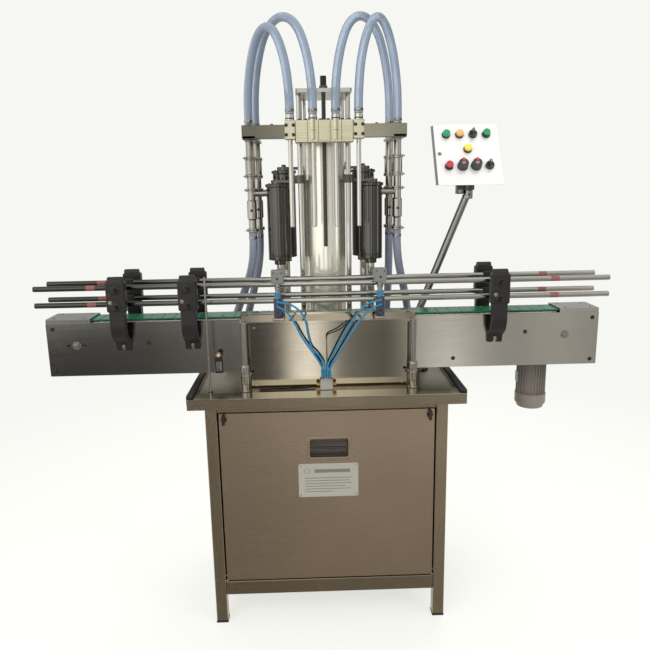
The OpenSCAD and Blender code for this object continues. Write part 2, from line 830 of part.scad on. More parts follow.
module hanger(shaft, cylinder) {
    z = [cylinder[2], cylinder[2] + 12];
    for (s = [-1, 1])
        difference() {
            union() {
                x = [head_x + s * shaft[0], head_x + s * cylinder[0]];
                slab([min(x), max(x)], [min(shaft[1], cylinder[1]) - 4, max(shaft[1], cylinder[1]) + 14], z);
                rod_z(36, x[0], shaft[1], [z[0], z[1] + 14]);
                rod_z(46, x[1], cylinder[1], z);
                hex_z(14, x[1], cylinder[1], [z[1], z[1] + 8]);
            }
            rod_z(shaft_d + 0.2, head_x + s * shaft[0], shaft[1], [z[0] - 1, z[1] + 20]);
        }
}

module cylinder_brackets() {
    color(dark) {
        hanger(shaft_front, cylinders[0]);
        hanger(shaft_rear, cylinders[1]);
    }
}

module piston_rods() {
    color("lightgray")
        for (c = cylinders)
            for (s = [-1, 1]) {
                x = head_x + s * c[0];
                rod_z(rod_d, x, c[1], [beam_z[1], piston_z[0] + 1]);
                difference() {
                    rod_z(barrel_d - 6 - 2 * run_gap, x, c[1], piston_z);
                    for (z = [piston_z[0] + 7, piston_z[1] - 11])
                        difference() {
                            rod_z(barrel_d, x, c[1], [z, z + 4]);
                            rod_z(barrel_d - 12, x, c[1], [z - 1, z + 5]);
                        }
                }
            }
}

module drive_beam() {
    reach = cylinders[0][0] + 26;
    color("slategray") {
        slab([head_x - reach, head_x + reach], [-25, 130], beam_z);
        rod_z(25, head_x, 52, [cyl_body[0] + 60, beam_z[0] + 1]);
        rod_z(50 - 2 * run_gap, head_x, 52, [cyl_body[0] + 40, cyl_body[0] + 62]);
    }
}

module drive_cylinder() {
    color("gainsboro") difference() {
        union() {
            slab([head_x - 90, head_x + 90], [-38, 142], cyl_base);
            rod_z(80, head_x, 52, [cyl_base[1], cyl_body[0]]);
            slab([head_x - 42, head_x + 42], [10, 94], [cyl_body[0], cyl_body[0] + 24]);
            rod_z(64, head_x, 52, cyl_body);
            slab([head_x - 42, head_x + 42], [10, 94], [cyl_body[1] - 24, cyl_body[1]]);
        }
        rod_z(50, head_x, 52, [cyl_body[0] + 24, cyl_body[1] - 20]);
        rod_z(25 + 2 * run_gap, head_x, 52, [cyl_body[1] - 30, cyl_body[1] + 1]);
    }
    color("silver")
        for (dx = [-34, 34])
            for (dy = [-34, 34])
                rod_z(8, head_x + dx, 52 + dy, [cyl_body[0] + 24, cyl_body[1] - 24]);
}

module valve_columns() {
    color("#c9c5bb")
        for (n = [0, 1])
            for (s = [-1, 1]) {
                x = head_x + s * columns[n][0];
                y = columns[n][1];
                port = head_x + s * (cylinders[n][0] + port_out);
                rod_z(valve_d, x, y, valve_z);
                for (z = [valve_z[0], 1432, 1476, 1533])
                    rod_z(38, x, y, [z, z + 11]);
                rod_z(32, x, y, [1345, 1402]);
                rod_z(32, x, y, [1487, 1533]);
                rod_x(22, [min(x, port), max(x, port)], y, port_z);
            }
}

module upper_hoses_left() {
    color("#b4c4d6") {
        swept(shifted(upper_front_left, head_x, -1), hose_d, [0.66, -0.75, 0]);
        swept(shifted(upper_rear, head_x, -1), hose_d, [0.74, -0.67, 0]);
    }
}

module upper_hoses_right() {
    color("#b4c4d6") {
        swept(shifted(upper_front, head_x), hose_d, [-0.66, -0.75, 0]);
        swept(shifted(upper_rear, head_x), hose_d, [-0.74, -0.67, 0]);
    }
}

module suction_hoses() {
    color("#7d7f93")
        for (path = [suction_left_front, suction_left_rear, suction_right_rear, suction_right_front])
            swept(shifted(path, head_x), hose_d, [1, 0, 0]);
}

module product_manifold() {
    bore_d = 48;
    color(steel) {
        difference() {
            union() {
                rod_x(header_d, [header_x[0], header_x[1] + inlet_l], header_y, header_z);
                rod_x(64, [header_x[1] - 6, header_x[1]], header_y, header_z);
                for (p = spigots)
                    rod_z(25, p[0], p[1], [header_z, spigot_top]);
            }
            rod_x(bore_d, [header_x[0] + 3, header_x[1] + inlet_l + 1], header_y, header_z);
        }
        for (x = [-200, 180]) {
            slab([x - 15, x + 15], [header_y - 15, header_y + 15], [floor_z, header_z - bore_d / 2 - 0.5]);
            slab([x - 30, x + 30], [header_y - 30, header_y + 30], [floor_z, floor_z + 6]);
        }
    }
}

// ---------------------------------------------------------------- controls

// Frame of the control box face: x across, y into the box, z up the face
module on_face() {
    translate(box_edge) rotate([-box_lean, 0, 0]) children();
}

module face_button(col, row) {
    on_face() translate([button_pitch * (col - 1.5), 0, rows[row]]) children();
}

// Side outline of the box in its face's frame; the top and the bottom lie level
function box_outline(skin) =
    let (rise = tan(box_lean), low = skin / cos(box_lean))
    [for (p = [[skin, 0, 1], [box_d - skin, 0, 1], [box_d - skin, box_l, -1], [skin, box_l, -1]])
        [p[0], p[1] + p[0] * rise + p[2] * low]];

module control_box() {
    half = box_w / 2;
    color("gainsboro") difference() {
        union() {
            on_face() profile_x(box_outline(0), [-half, half]);
            rod_z(40, swivel[0], swivel[1], [neck_z + 0.3, box_edge[2] + 1]);
            slab([swivel[0] - 40, swivel[0] - 17], [swivel[1] - 14, swivel[1] + 14],
                [neck_z - 12, box_edge[2] + 1]);
        }
        on_face() profile_x(box_outline(sheet), [-half + sheet, half - sheet]);
        rod_z(24 + 2 * run_gap, swivel[0], swivel[1], [neck_z - 1, box_edge[2] - 1]);
        for (p = [[0, 0], [1, 0], [2, 0], [3, 0], [1.5, 1], [0, 2], [1, 2], [2, 2], [3, 2]])
            face_button(p[0], p[1]) rod_y(20.2, 0, [-1, 6], 0);
    }
}

module panel_arm() {
    elbow = [arm_foot[0], arm_foot[1], 1010];
    shoulder = [swivel[0] - 5, swivel[1], neck_z - 18];
    rise = shoulder - elbow;
    color("lightgray") {
        rod_z(80, arm_foot[0], arm_foot[1], [floor_z, floor_z + 8]);
        rod_z(25, arm_foot[0], arm_foot[1], [floor_z + 7, elbow[2]]);
        translate(elbow) sphere(d = 28);
        translate(elbow) rotate([0, atan2(rise[0], rise[2]), 0]) cylinder(d = 25, h = norm(rise));
        rod_z(30, swivel[0], swivel[1], [neck_z - 28, neck_z]);
        rod_z(24, swivel[0], swivel[1], [neck_z - 1, neck_z + 14]);
    }
}

module bezels() {
    color(black)
        for (p = [[0, 0], [1, 0], [2, 0], [3, 0], [1.5, 1], [0, 2], [1, 2], [2, 2], [3, 2]])
            face_button(p[0], p[1]) difference() {
                rod_y(p[1] == 2 && (p[0] == 1 || p[0] == 2) ? 36 : 29, 0, [-8, 0], 0);
                rod_y(20.6, 0, [-9, 1], 0);
            }
}

module lamp(col, row, tint) {
    color(tint) face_button(col, row) {
        rod_y(20, 0, [-20, 16], 0);
        rod_y(24, 0, [-20, -8], 0);
    }
}

module pilot_lamps() {
    lamp(0, 0, "#1f8a5a");
    lamp(1, 0, "#d9b27c");
    lamp(1.5, 1, "#e5cf3c");
}

module push_button(col, row, tint) {
    color(tint) face_button(col, row) {
        rod_y(20, 0, [-14, 12], 0);
        rod_y(24, 0, [-19, -13], 0);
    }
}

module start_button() push_button(3, 0, "#1f9a60");

module stop_button() push_button(0, 2, "#c0353a");

module selector(col, row) {
    color(black) face_button(col, row) {
        rod_y(20, 0, [-12, 14], 0);
        rod_y(27, 0, [-12, -8.3], 0);
        slab([-5, 5], [-24, -11], [-13, 13]);
    }
}

module selector_run() selector(2, 0);

module selector_mode() selector(3, 2);

module dial(col, row) {
    color(dark) face_button(col, row) {
        rod_y(20, 0, [-12, 14], 0);
        rod_y(34, 0, [-26, -8.3], 0);
    }
    color("#b0343c") face_button(col, row) slab([-4, 4], [-28, -25], [2, 16]);
}

module speed_knob() dial(1, 2);

module fill_knob() dial(2, 2);

frame();
feet();
front_panel();
pull_handle();
name_plate();
latch_left();
latch_right();
cabinet_panels();
table_tray();
tray_edging();
conveyor_front_plate();
conveyor_rear_plate();
conveyor_bed();
end_covers();
slat_belt();
drive_shaft();
idler_shaft();
shaft_bearings();
gearbox();
conveyor_motor();
rails_front();
rails_rear();
rail_brackets();
support_posts();
station_box();
sensor_post();
air_manifold();
stopper_left();
stopper_left_pin();
stopper_right();
stopper_right_pin();
air_tubes();
sensor_cables();
guide_shafts();
top_plate();
column_base();
column_cover();
nozzle_carriage();
nozzles();
lift_spindle();
metering_cylinders();
cylinder_brackets();
piston_rods();
drive_beam();
drive_cylinder();
valve_columns();
upper_hoses_left();
upper_hoses_right();
suction_hoses();
product_manifold();
control_box();
panel_arm();
bezels();
pilot_lamps();
start_button();
stop_button();
selector_run();
selector_mode();
speed_knob();
fill_knob();
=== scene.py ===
"""Looks of a four-head piston liquid filler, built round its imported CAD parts.

Every length in the sub-assemblies is in millimetres in the CAD's own frame: +X along the
conveyor, +Y away from the operator, +Z up, with the origin on the floor. The Sculptor turns
them into metres when a piece is finished.
"""

import logging
import math
from dataclasses import dataclass
from enum import Enum
from typing import Callable, Iterable, Sequence

import bmesh
import bpy
from mathutils import Matrix, Vector

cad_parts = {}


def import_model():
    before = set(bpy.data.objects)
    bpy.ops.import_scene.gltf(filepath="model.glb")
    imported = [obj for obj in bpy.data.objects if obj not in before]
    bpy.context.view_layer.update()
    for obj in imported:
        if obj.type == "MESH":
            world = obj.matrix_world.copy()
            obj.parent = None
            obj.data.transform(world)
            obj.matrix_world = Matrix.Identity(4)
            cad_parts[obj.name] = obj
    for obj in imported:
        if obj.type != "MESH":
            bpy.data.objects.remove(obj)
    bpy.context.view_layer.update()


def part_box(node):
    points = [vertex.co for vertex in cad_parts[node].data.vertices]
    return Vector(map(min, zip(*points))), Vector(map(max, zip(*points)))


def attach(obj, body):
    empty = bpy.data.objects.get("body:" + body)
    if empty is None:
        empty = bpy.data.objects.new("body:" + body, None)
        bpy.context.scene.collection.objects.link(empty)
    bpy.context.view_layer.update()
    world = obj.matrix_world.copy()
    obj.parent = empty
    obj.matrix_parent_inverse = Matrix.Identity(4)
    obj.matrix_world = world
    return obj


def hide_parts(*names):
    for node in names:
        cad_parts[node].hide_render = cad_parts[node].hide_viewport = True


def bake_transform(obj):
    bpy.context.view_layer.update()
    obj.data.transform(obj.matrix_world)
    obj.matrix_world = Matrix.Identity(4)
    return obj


LOG = logging.getLogger("filler")
MM = 0.001
Flat = tuple[float, float]
Point = tuple[float, float, float]
Colour = tuple[float, float, float]
Socket = bpy.types.NodeSocket


def srgb(code: str) -> Colour:
    """Linear colour of a hex code.

    Args:
        code: six hexadecimal digits, red first.

    Returns:
        Linear red, green and blue.
    """
    parts = [int(code[i : i + 2], 16) / 255 for i in (0, 2, 4)]
    return tuple(c / 12.92 if c <= 0.04045 else ((c + 0.055) / 1.055) ** 2.4 for c in parts)


class Grain(Enum):
    """Direction of a brushed or drawn surface's fine lines."""

    ALONG_X = (3.0, 700.0, 700.0)
    ALONG_Z = (700.0, 700.0, 3.0)
    AROUND_Z = (8.0, 8.0, 900.0)
    NONE = (260.0, 260.0, 260.0)


class Graph:
    """A material's node tree, built one node at a time."""

    def __init__(self, name: str) -> None:
        self.material = bpy.data.materials.new(name)
        self.material.use_nodes = True
        self.tree = self.material.node_tree
        self.tree.nodes.clear()
        self.coords = self.node("ShaderNodeTexCoord")

    def node(self, kind: str, inputs: dict | None = None, **settings) -> bpy.types.Node:
        """Adds a node.

        Args:
            kind: the node's type name.
            inputs: socket name or index to a constant or to another node's output.
            settings: attributes of the node.

        Returns:
            The new node.
        """
        made = self.tree.nodes.new(kind)
        for key, value in settings.items():
            setattr(made, key, value)
        for key, value in (inputs or {}).items():
            if isinstance(value, Socket):
                self.tree.links.new(value, made.inputs[key])
            else:
                made.inputs[key].default_value = value
        return made

    def noise(
        self, scale: Sequence[float] | float, detail: float = 4.0, rough: float = 0.5
    ) -> Socket:
        """Noise over the object's own coordinates, stretched when scale has three parts."""
        stretch = (scale,) * 3 if isinstance(scale, (int, float)) else tuple(scale)
        mapped = self.node("ShaderNodeMapping", {"Vector": self.coords.outputs["Object"], "Scale": stretch})
        made = self.node(
            "ShaderNodeTexNoise",
            {"Vector": mapped.outputs[0], "Scale": 1.0, "Detail": detail, "Roughness": rough}
        )
        return made.outputs["Fac"]

    def span(
        self, value, low: float, high: float, start: float = 0.3, stop: float = 0.7
    ) -> Socket:
        """Maps a value's start..stop range onto low..high, clamped."""
        made = self.node(
            "ShaderNodeMapRange",
            {"Value": value, "From Min": start, "From Max": stop, "To Min": low, "To Max": high},
        )
        return made.outputs[0]

    def mix(self, factor, first, second) -> Socket:
        """Mixes two colours."""
        made = self.node("ShaderNodeMix", data_type="RGBA", blend_type="MIX")
        for index, value in ((0, factor), (6, first), (7, second)):
            if isinstance(value, Socket):
                self.tree.links.new(value, made.inputs[index])
            else:
                made.inputs[index].default_value = value if index == 0 else (*value, 1.0)
        return made.outputs[2]

    def add(self, first, second, operation: str = "ADD") -> Socket:
        """Combines two numbers."""
        return self.node("ShaderNodeMath", {0: first, 1: second}, operation=operation).outputs[0]

    def bump(self, height, strength: float, distance: float) -> Socket:
        """Normal bent by a height."""
        return self.node(
            "ShaderNodeBump", {"Height": height, "Strength": strength, "Distance": distance}
        ).outputs[0]

    def surface(self, **inputs) -> bpy.types.Material:
        """Ends the tree in a principled surface; underscores in names stand for spaces."""
        shader = self.node("ShaderNodeBsdfPrincipled")
        for key, value in inputs.items():
            socket = shader.inputs[key.replace("_", " ")]
            if isinstance(value, Socket):
                self.tree.links.new(value, socket)
            elif isinstance(value, tuple) and len(socket.default_value) == 4:
                socket.default_value = (*value, 1.0)
            else:
                socket.default_value = value
        self.node("ShaderNodeOutputMaterial", {"Surface": shader.outputs[0]})
        return self.material


@dataclass(frozen=True)
class Metal:
    """Bare metal with fine lines, soft stains and handling marks, and an optional painted shade that darkens
    it towards low X.
    """

    name: str
    base: Colour
    stain: Colour
    roughness: float = 0.3
    spread: float = 0.08
    grain: Grain = Grain.NONE
    lines: float = 0.25
    stain_scale: float = 3.0
    metallic: float = 1.0
    # X range and darkening factor of a painted shade standing for dark reflections; None leaves the colour
    # even.
    painted_shade_span: tuple[float, float, float] | None = None

    def material(self) -> bpy.types.Material:
        """Returns the finish's node material."""
        g = Graph(self.name)
        lines = g.noise(self.grain.value, 3.0, 0.6)
        cloud = g.noise(self.stain_scale, 5.0, 0.55)
        marks = g.noise(28.0, 6.0, 0.7)
        colour = g.mix(g.span(cloud, 0.0, 0.75), self.base, self.stain)
        colour = g.mix(g.span(lines, 0.0, 0.12), colour, tuple(0.55 * c for c in self.base))
        # Painted shade: the colour darkens towards low X, standing in for dark surroundings mirrored in the
        # steel.
        if self.painted_shade_span:
            start, stop, dark = self.painted_shade_span
            across = g.node("ShaderNodeSeparateXYZ", {0: g.coords.outputs["Object"]}).outputs["X"]
            shaded_base = tuple(dark * c for c in self.base)
            colour = g.mix(g.span(across, 0.0, 1.0, start, stop), shaded_base, colour)
        rough = g.add(
            g.span(lines, self.roughness - self.spread, self.roughness + self.spread),
            g.add(
                g.span(cloud, -0.1 * self.roughness, 0.2 * self.roughness),
                g.span(marks, 0.0, 0.3 * self.roughness, 0.55, 0.75),
            ),
        )
        return g.surface(
            Base_Color=colour,
            Metallic=self.metallic,
            Roughness=rough,
            Normal=g.bump(lines, self.lines, 0.00025),
        )


@dataclass(frozen=True)
class Plastic:
    """Moulded plastic, rubber or enamel with a fine texture and scuffs."""

    name: str
    base: Colour
    roughness: float = 0.4
    texture: float = 0.1
    coat: float = 0.0
    scuff: float = 0.3

    def material(self) -> bpy.types.Material:
        """Returns the finish's node material."""
        g = Graph(self.name)
        fine = g.noise(420.0, 3.0)
        cloud = g.noise(9.0, 5.0)
        dust = g.noise(60.0, 6.0, 0.7)
        light = tuple(min(1.0, c * 1.6 + 0.03) for c in self.base)
        colour = g.mix(g.span(cloud, 0.0, 0.35), self.base, tuple(0.8 * c for c in self.base))
        colour = g.mix(g.span(dust, 0.0, self.scuff, 0.52, 0.78), colour, light)
        rough = g.add(
            g.span(cloud, self.roughness - 0.06, self.roughness + 0.08), g.span(dust, 0.0, 0.12, 0.5, 0.75)
        )
        return g.surface(
            Base_Color=colour,
            Roughness=rough,
            Coat_Weight=self.coat,
            Coat_Roughness=0.12,
            Normal=g.bump(fine, self.texture, 0.0002),
        )


@dataclass(frozen=True)
class Hose:
    """Translucent hose with a faint woven reinforcement under a clear skin."""

    name: str
    base: Colour
    weave: Colour
    transmission: float = 0.3
    roughness: float = 0.28

    def material(self) -> bpy.types.Material:
        """Returns the finish's node material."""
        g = Graph(self.name)
        waves = []
        for turn in (0.6, -0.6):
            mapped = g.node(
                "ShaderNodeMapping",
                {"Vector": g.coords.outputs["UV"], "Rotation": (0, 0, turn), "Scale": (1, 1, 1)}
            )
            wave = g.node("ShaderNodeTexWave", {"Vector": mapped.outputs[0], "Scale": 3.0, "Distortion": 0.0})
            waves.append(wave.outputs["Fac"])
        weave = g.add(waves[0], waves[1], "MAXIMUM")
        cloud = g.noise(14.0, 4.0)
        colour = g.mix(g.span(weave, 0.0, 0.22, 0.86, 1.0), self.base, self.weave)
        colour = g.mix(g.span(cloud, 0.0, 0.5), colour, tuple(0.72 * c for c in self.base))
        return g.surface(
            Base_Color=colour,
            Roughness=g.span(cloud, self.roughness - 0.05, self.roughness + 0.1),
            Transmission_Weight=self.transmission,
            IOR=1.42,
            Coat_Weight=0.4,
            Coat_Roughness=0.08,
            Normal=g.bump(weave, 0.12, 0.0003),
        )


@dataclass(frozen=True)
class Lens:
    """Clear coloured moulding over a diffuser."""

    name: str
    base: Colour
    glow: float = 0.15

    def material(self) -> bpy.types.Material:
        """Returns the finish's node material."""
        g = Graph(self.name)
        cloud = g.noise(160.0, 3.0)
        return g.surface(
            Base_Color=g.mix(g.span(cloud, 0.0, 0.25), self.base, tuple(0.7 * c for c in self.base)),
            Roughness=g.span(cloud, 0.12, 0.22),
            Coat_Weight=0.6,
            Coat_Roughness=0.05,
            Subsurface_Weight=0.25,
            Subsurface_Radius=(0.004, 0.004, 0.004),
            Emission_Color=self.base,
            Emission_Strength=self.glow,
        )


FRAME = Metal("frame_steel", srgb("b9ab92"), srgb("988a74"), 0.26, 0.07, Grain.ALONG_Z, 0.12)
RAIL = Metal("rail_steel", srgb("a89b84"), srgb("867a67"), 0.28, 0.07, Grain.ALONG_X, 0.12)
TRAY = Metal("tray_steel", srgb("d8d1ba"), srgb("b3a88f"), 0.2, 0.05, Grain.ALONG_X, 0.08)
DOOR = Metal("door_steel", srgb("c4b099"), srgb("a5927d"), 0.30, 0.05, Grain.ALONG_X, 0.08, 2.2)
PANEL = Metal("panel_steel", srgb("9a8d80"), srgb("7e7267"), 0.34, 0.07, Grain.ALONG_X, 0.3, 2.2)
# The side plates and end covers darken towards their left end: painted shade standing for a dark reflection.
CONVEYOR = Metal(
    "conveyor_steel", srgb("d0cdc3"), srgb("b3aea3"), 0.13, 0.03, Grain.ALONG_X, 0.04, 2.0,
    painted_shade_span=(-0.55, -0.2, 0.5)
)
STATION = Metal("station_steel", srgb("c4bcab"), srgb("a0988a"), 0.08, 0.02, Grain.ALONG_X, 0.02, 3.5)
POLISHED = Metal("polished_steel", srgb("dcd9cf"), srgb("bdb8aa"), 0.10, 0.03, Grain.ALONG_Z, 0.1)
# The guide rods darken towards their left end: painted shade standing for a dark reflection.
ROD_X = Metal(
    "rod_steel", srgb("c9c6c0"), srgb("a6a29b"), 0.14, 0.03, Grain.ALONG_X, 0.06, painted_shade_span=(-0.6, -0.12, 0.14)
)
# Near-white, partly diffuse base: painted highlight that brightens the whole column beyond the light it
# mirrors.
COLUMN = Metal("column_steel", srgb("fbf8ea"), srgb("efebd9"), 0.18, 0.03, Grain.ALONG_Z, 0.06, metallic=0.75)
CARRIAGE = Metal("carriage_steel", srgb("e0dabd"), srgb("c2bb9c"), 0.24, 0.06, Grain.ALONG_X, 0.1)
# The carriage beam and side arms darken towards the left: painted shade.
BEAM_STEEL = Metal(
    "beam_steel", srgb("a8a491"), srgb("86816f"), 0.2, 0.05, Grain.ALONG_X, 0.1, painted_shade_span=(-0.2, 0.1, 0.4)
)
PLATE_STEEL = Metal("crown_steel", srgb("c9c6bd"), srgb("a7a399"), 0.26, 0.06, Grain.ALONG_X, 0.2)
ARM_STEEL = Metal("arm_steel", srgb("9b9a95"), srgb("7c7b76"), 0.13, 0.03, Grain.ALONG_Z, 0.08)
NOZZLE = Metal("nozzle_steel", srgb("e2dfd6"), srgb("bfbbae"), 0.12, 0.04, Grain.ALONG_Z, 0.12)
# Much darker than bare steel: painted shade standing for the dark surroundings that the polished barrels
# mirror.
BARREL = Metal("barrel_steel", srgb("605e59"), srgb("4a4844"), 0.08, 0.02, Grain.AROUND_Z, 0.03)
VALVE_STEEL = Metal("valve_steel", srgb("b9b6ad"), srgb("8f8b81"), 0.14, 0.04, Grain.ALONG_Z, 0.12)
TURNED = Metal("turned_steel", srgb("b9b4aa"), srgb("928c82"), 0.2, 0.05, Grain.AROUND_Z, 0.2)
BRACKET_STEEL = Metal("bracket_steel", srgb("77726b"), srgb("59554f"), 0.3, 0.06, Grain.ALONG_X, 0.2)
HANDLE_METAL = Metal("handle_metal", srgb("8f8880"), srgb("6c665f"), 0.34, 0.06, Grain.ALONG_X, 0.2)
DARK_STEEL = Metal("dark_steel", srgb("5b5752"), srgb("403d3a"), 0.34, 0.07, Grain.NONE, 0.2)
SPINDLE = Metal("spindle_steel", srgb("7c7873"), srgb("5b5753"), 0.3, 0.06, Grain.AROUND_Z, 0.2)
BOX_STEEL = Metal("box_steel", srgb("fbfbfa"), srgb("ecebe8"), 0.3, 0.05, Grain.ALONG_X, 0.1, metallic=0.5)
# Darker copy of the box steel for the control box's shell: painted shade on its sides.
BOX_SHELL_SHADE = Metal("box_shell_painted_shade", srgb("a9a7a3"), srgb("7f7d79"), 0.28, 0.06, Grain.ALONG_X, 0.2)
ALLOY = Metal("alloy", srgb("c9c9c6"), srgb("a5a5a1"), 0.32, 0.06, Grain.NONE, 0.15)
PLATE = Metal("plate_alloy", srgb("b7b4a9"), srgb("a4a398"), 0.4, 0.05, Grain.ALONG_X, 0.1, metallic=0.4)
BRASS = Metal("brass", srgb("b98f4a"), srgb("8d6a35"), 0.28, 0.06, Grain.NONE, 0.1)
RUBBER = Plastic("black_rubber", srgb("232224"), 0.6, 0.4)
NYLON = Plastic("black_nylon", srgb("1b1817"), 0.4, 0.3, scuff=0.12)
HANDLE_POCKET = Plastic("dark_pocket_finish", srgb("262322"), 0.3, 0.15, 0.3, 0.15)
LATCH = Plastic("dark_moulding", srgb("2b1814"), 0.3, 0.15, 0.2, 0.15)
ACETAL = Plastic("white_acetal", srgb("d9d5c8"), 0.4, 0.1)
BELT = Plastic("green_slats", srgb("1e6b4a"), 0.3, 0.1, 0.3, 0.2)
MOTOR = Plastic("motor_enamel", srgb("7c746d"), 0.36, 0.3, 0.2, 0.25)
GEARBOX = Plastic("gearbox_enamel", srgb("7d7a77"), 0.42, 0.4, 0.1, 0.25)
STOPPER = Plastic("stopper_anodising", srgb("2e3142"), 0.26, 0.1, 0.4, 0.15)
SWITCH_GREY = Plastic("switch_moulding", srgb("6f6f6c"), 0.35, 0.15, 0.2, 0.2)
AIR_BLUE = Plastic("air_tube_blue", srgb("14719a"), 0.25, 0.05, 0.3, 0.1)
CABLE = Plastic("cable_black", srgb("1d1c1e"), 0.45, 0.2, 0.0, 0.1)
GLOSS_BLACK = Plastic("gloss_black", srgb("1b1b1e"), 0.22, 0.05, 0.4, 0.1)
KNOB = Plastic("knob_grey", srgb("3a3739"), 0.35, 0.1, 0.2, 0.15)
TAPE = Plastic("red_tape", srgb("7f4a45"), 0.4, 0.1, 0.1, 0.3)
PLATE_INK = Plastic("plate_ink", srgb("6c6a66"), 0.5, 0.05, 0.0, 0.1)
CLEAR_HOSE = Hose("clear_hose", srgb("97a5b8"), srgb("bcc8d6"), 0.45, 0.2)
VIOLET_HOSE = Hose("violet_hose", srgb("9093a6"), srgb("aeb2c1"), 0.35, 0.2)
GREEN_LENS = Lens("green_lens", srgb("0f8a55"))
AMBER_LENS = Lens("amber_lens", srgb("d8a766"))
YELLOW_LENS = Lens("yellow_lens", srgb("e8cf36"))
RED_CAP = Plastic("red_cap", srgb("b92b31"), 0.22, 0.05, 0.5, 0.1)
GREEN_CAP = Plastic("green_cap", srgb("128a55"), 0.22, 0.05, 0.5, 0.1)


Finish = Metal | Plastic | Hose | Lens


class Palette:
    """Makes each finish's material once."""

    made: dict[str, bpy.types.Material] = {}

    @classmethod
    def of(cls, finish: Finish) -> bpy.types.Material:
        """Returns the one material of a finish."""
        if finish.name not in cls.made:
            cls.made[finish.name] = finish.material()
        return cls.made[finish.name]


def smooth_route(points: Sequence[Point], step: float) -> list[Vector]:
    """Catmull-Rom curve through points, resampled.

    Args:
        points: the route, in millimetres.
        step: the distance between returned points.

    Returns:
        Points along the curve, with the route's own first and last point.
    """
    route = [Vector(p) for p in points]
    ends = [2 * route[0] - route[1], *route, 2 * route[-1] - route[-2]]
    fine: list[Vector] = []
    for i in range(1, len(ends) - 2):
        a, b, c, d = ends[i - 1 : i + 3]
        for k in range(12):
            t = k / 12
            fine.append(
                0.5
                * (
                    2 * b
                    + (c - a) * t
                    + (2 * a - 5 * b + 4 * c - d) * t**2
                    + (3 * b - a - 3 * c + d) * t**3
                )
            )
    fine.append(route[-1])
    lengths = [0.0]
    for a, b in zip(fine, fine[1:]):
        lengths.append(lengths[-1] + (b - a).length)
    count = max(2, round(lengths[-1] / step))
    out, j = [], 0
    for i in range(count + 1):
        target = lengths[-1] * i / count
        while j < len(lengths) - 2 and lengths[j + 1] < target:
            j += 1
        gap = lengths[j + 1] - lengths[j]
        out.append(fine[j].lerp(fine[j + 1], 0 if gap < 1e-9 else (target - lengths[j]) / gap))
    return out


def route_length(points: Sequence[Vector]) -> float:
    """Length of a polyline."""
    return sum((b - a).length for a, b in zip(points, points[1:]))


RIVET = ((0, 1.6), (2.2, 1.3), (3.4, 0.6), (3.8, 0))
UP, DOWN, FRONT, BACK, RIGHT = (0, 0, 1), (0, 0, -1), (0, -1, 0), (0, 1, 0), (1, 0, 0)


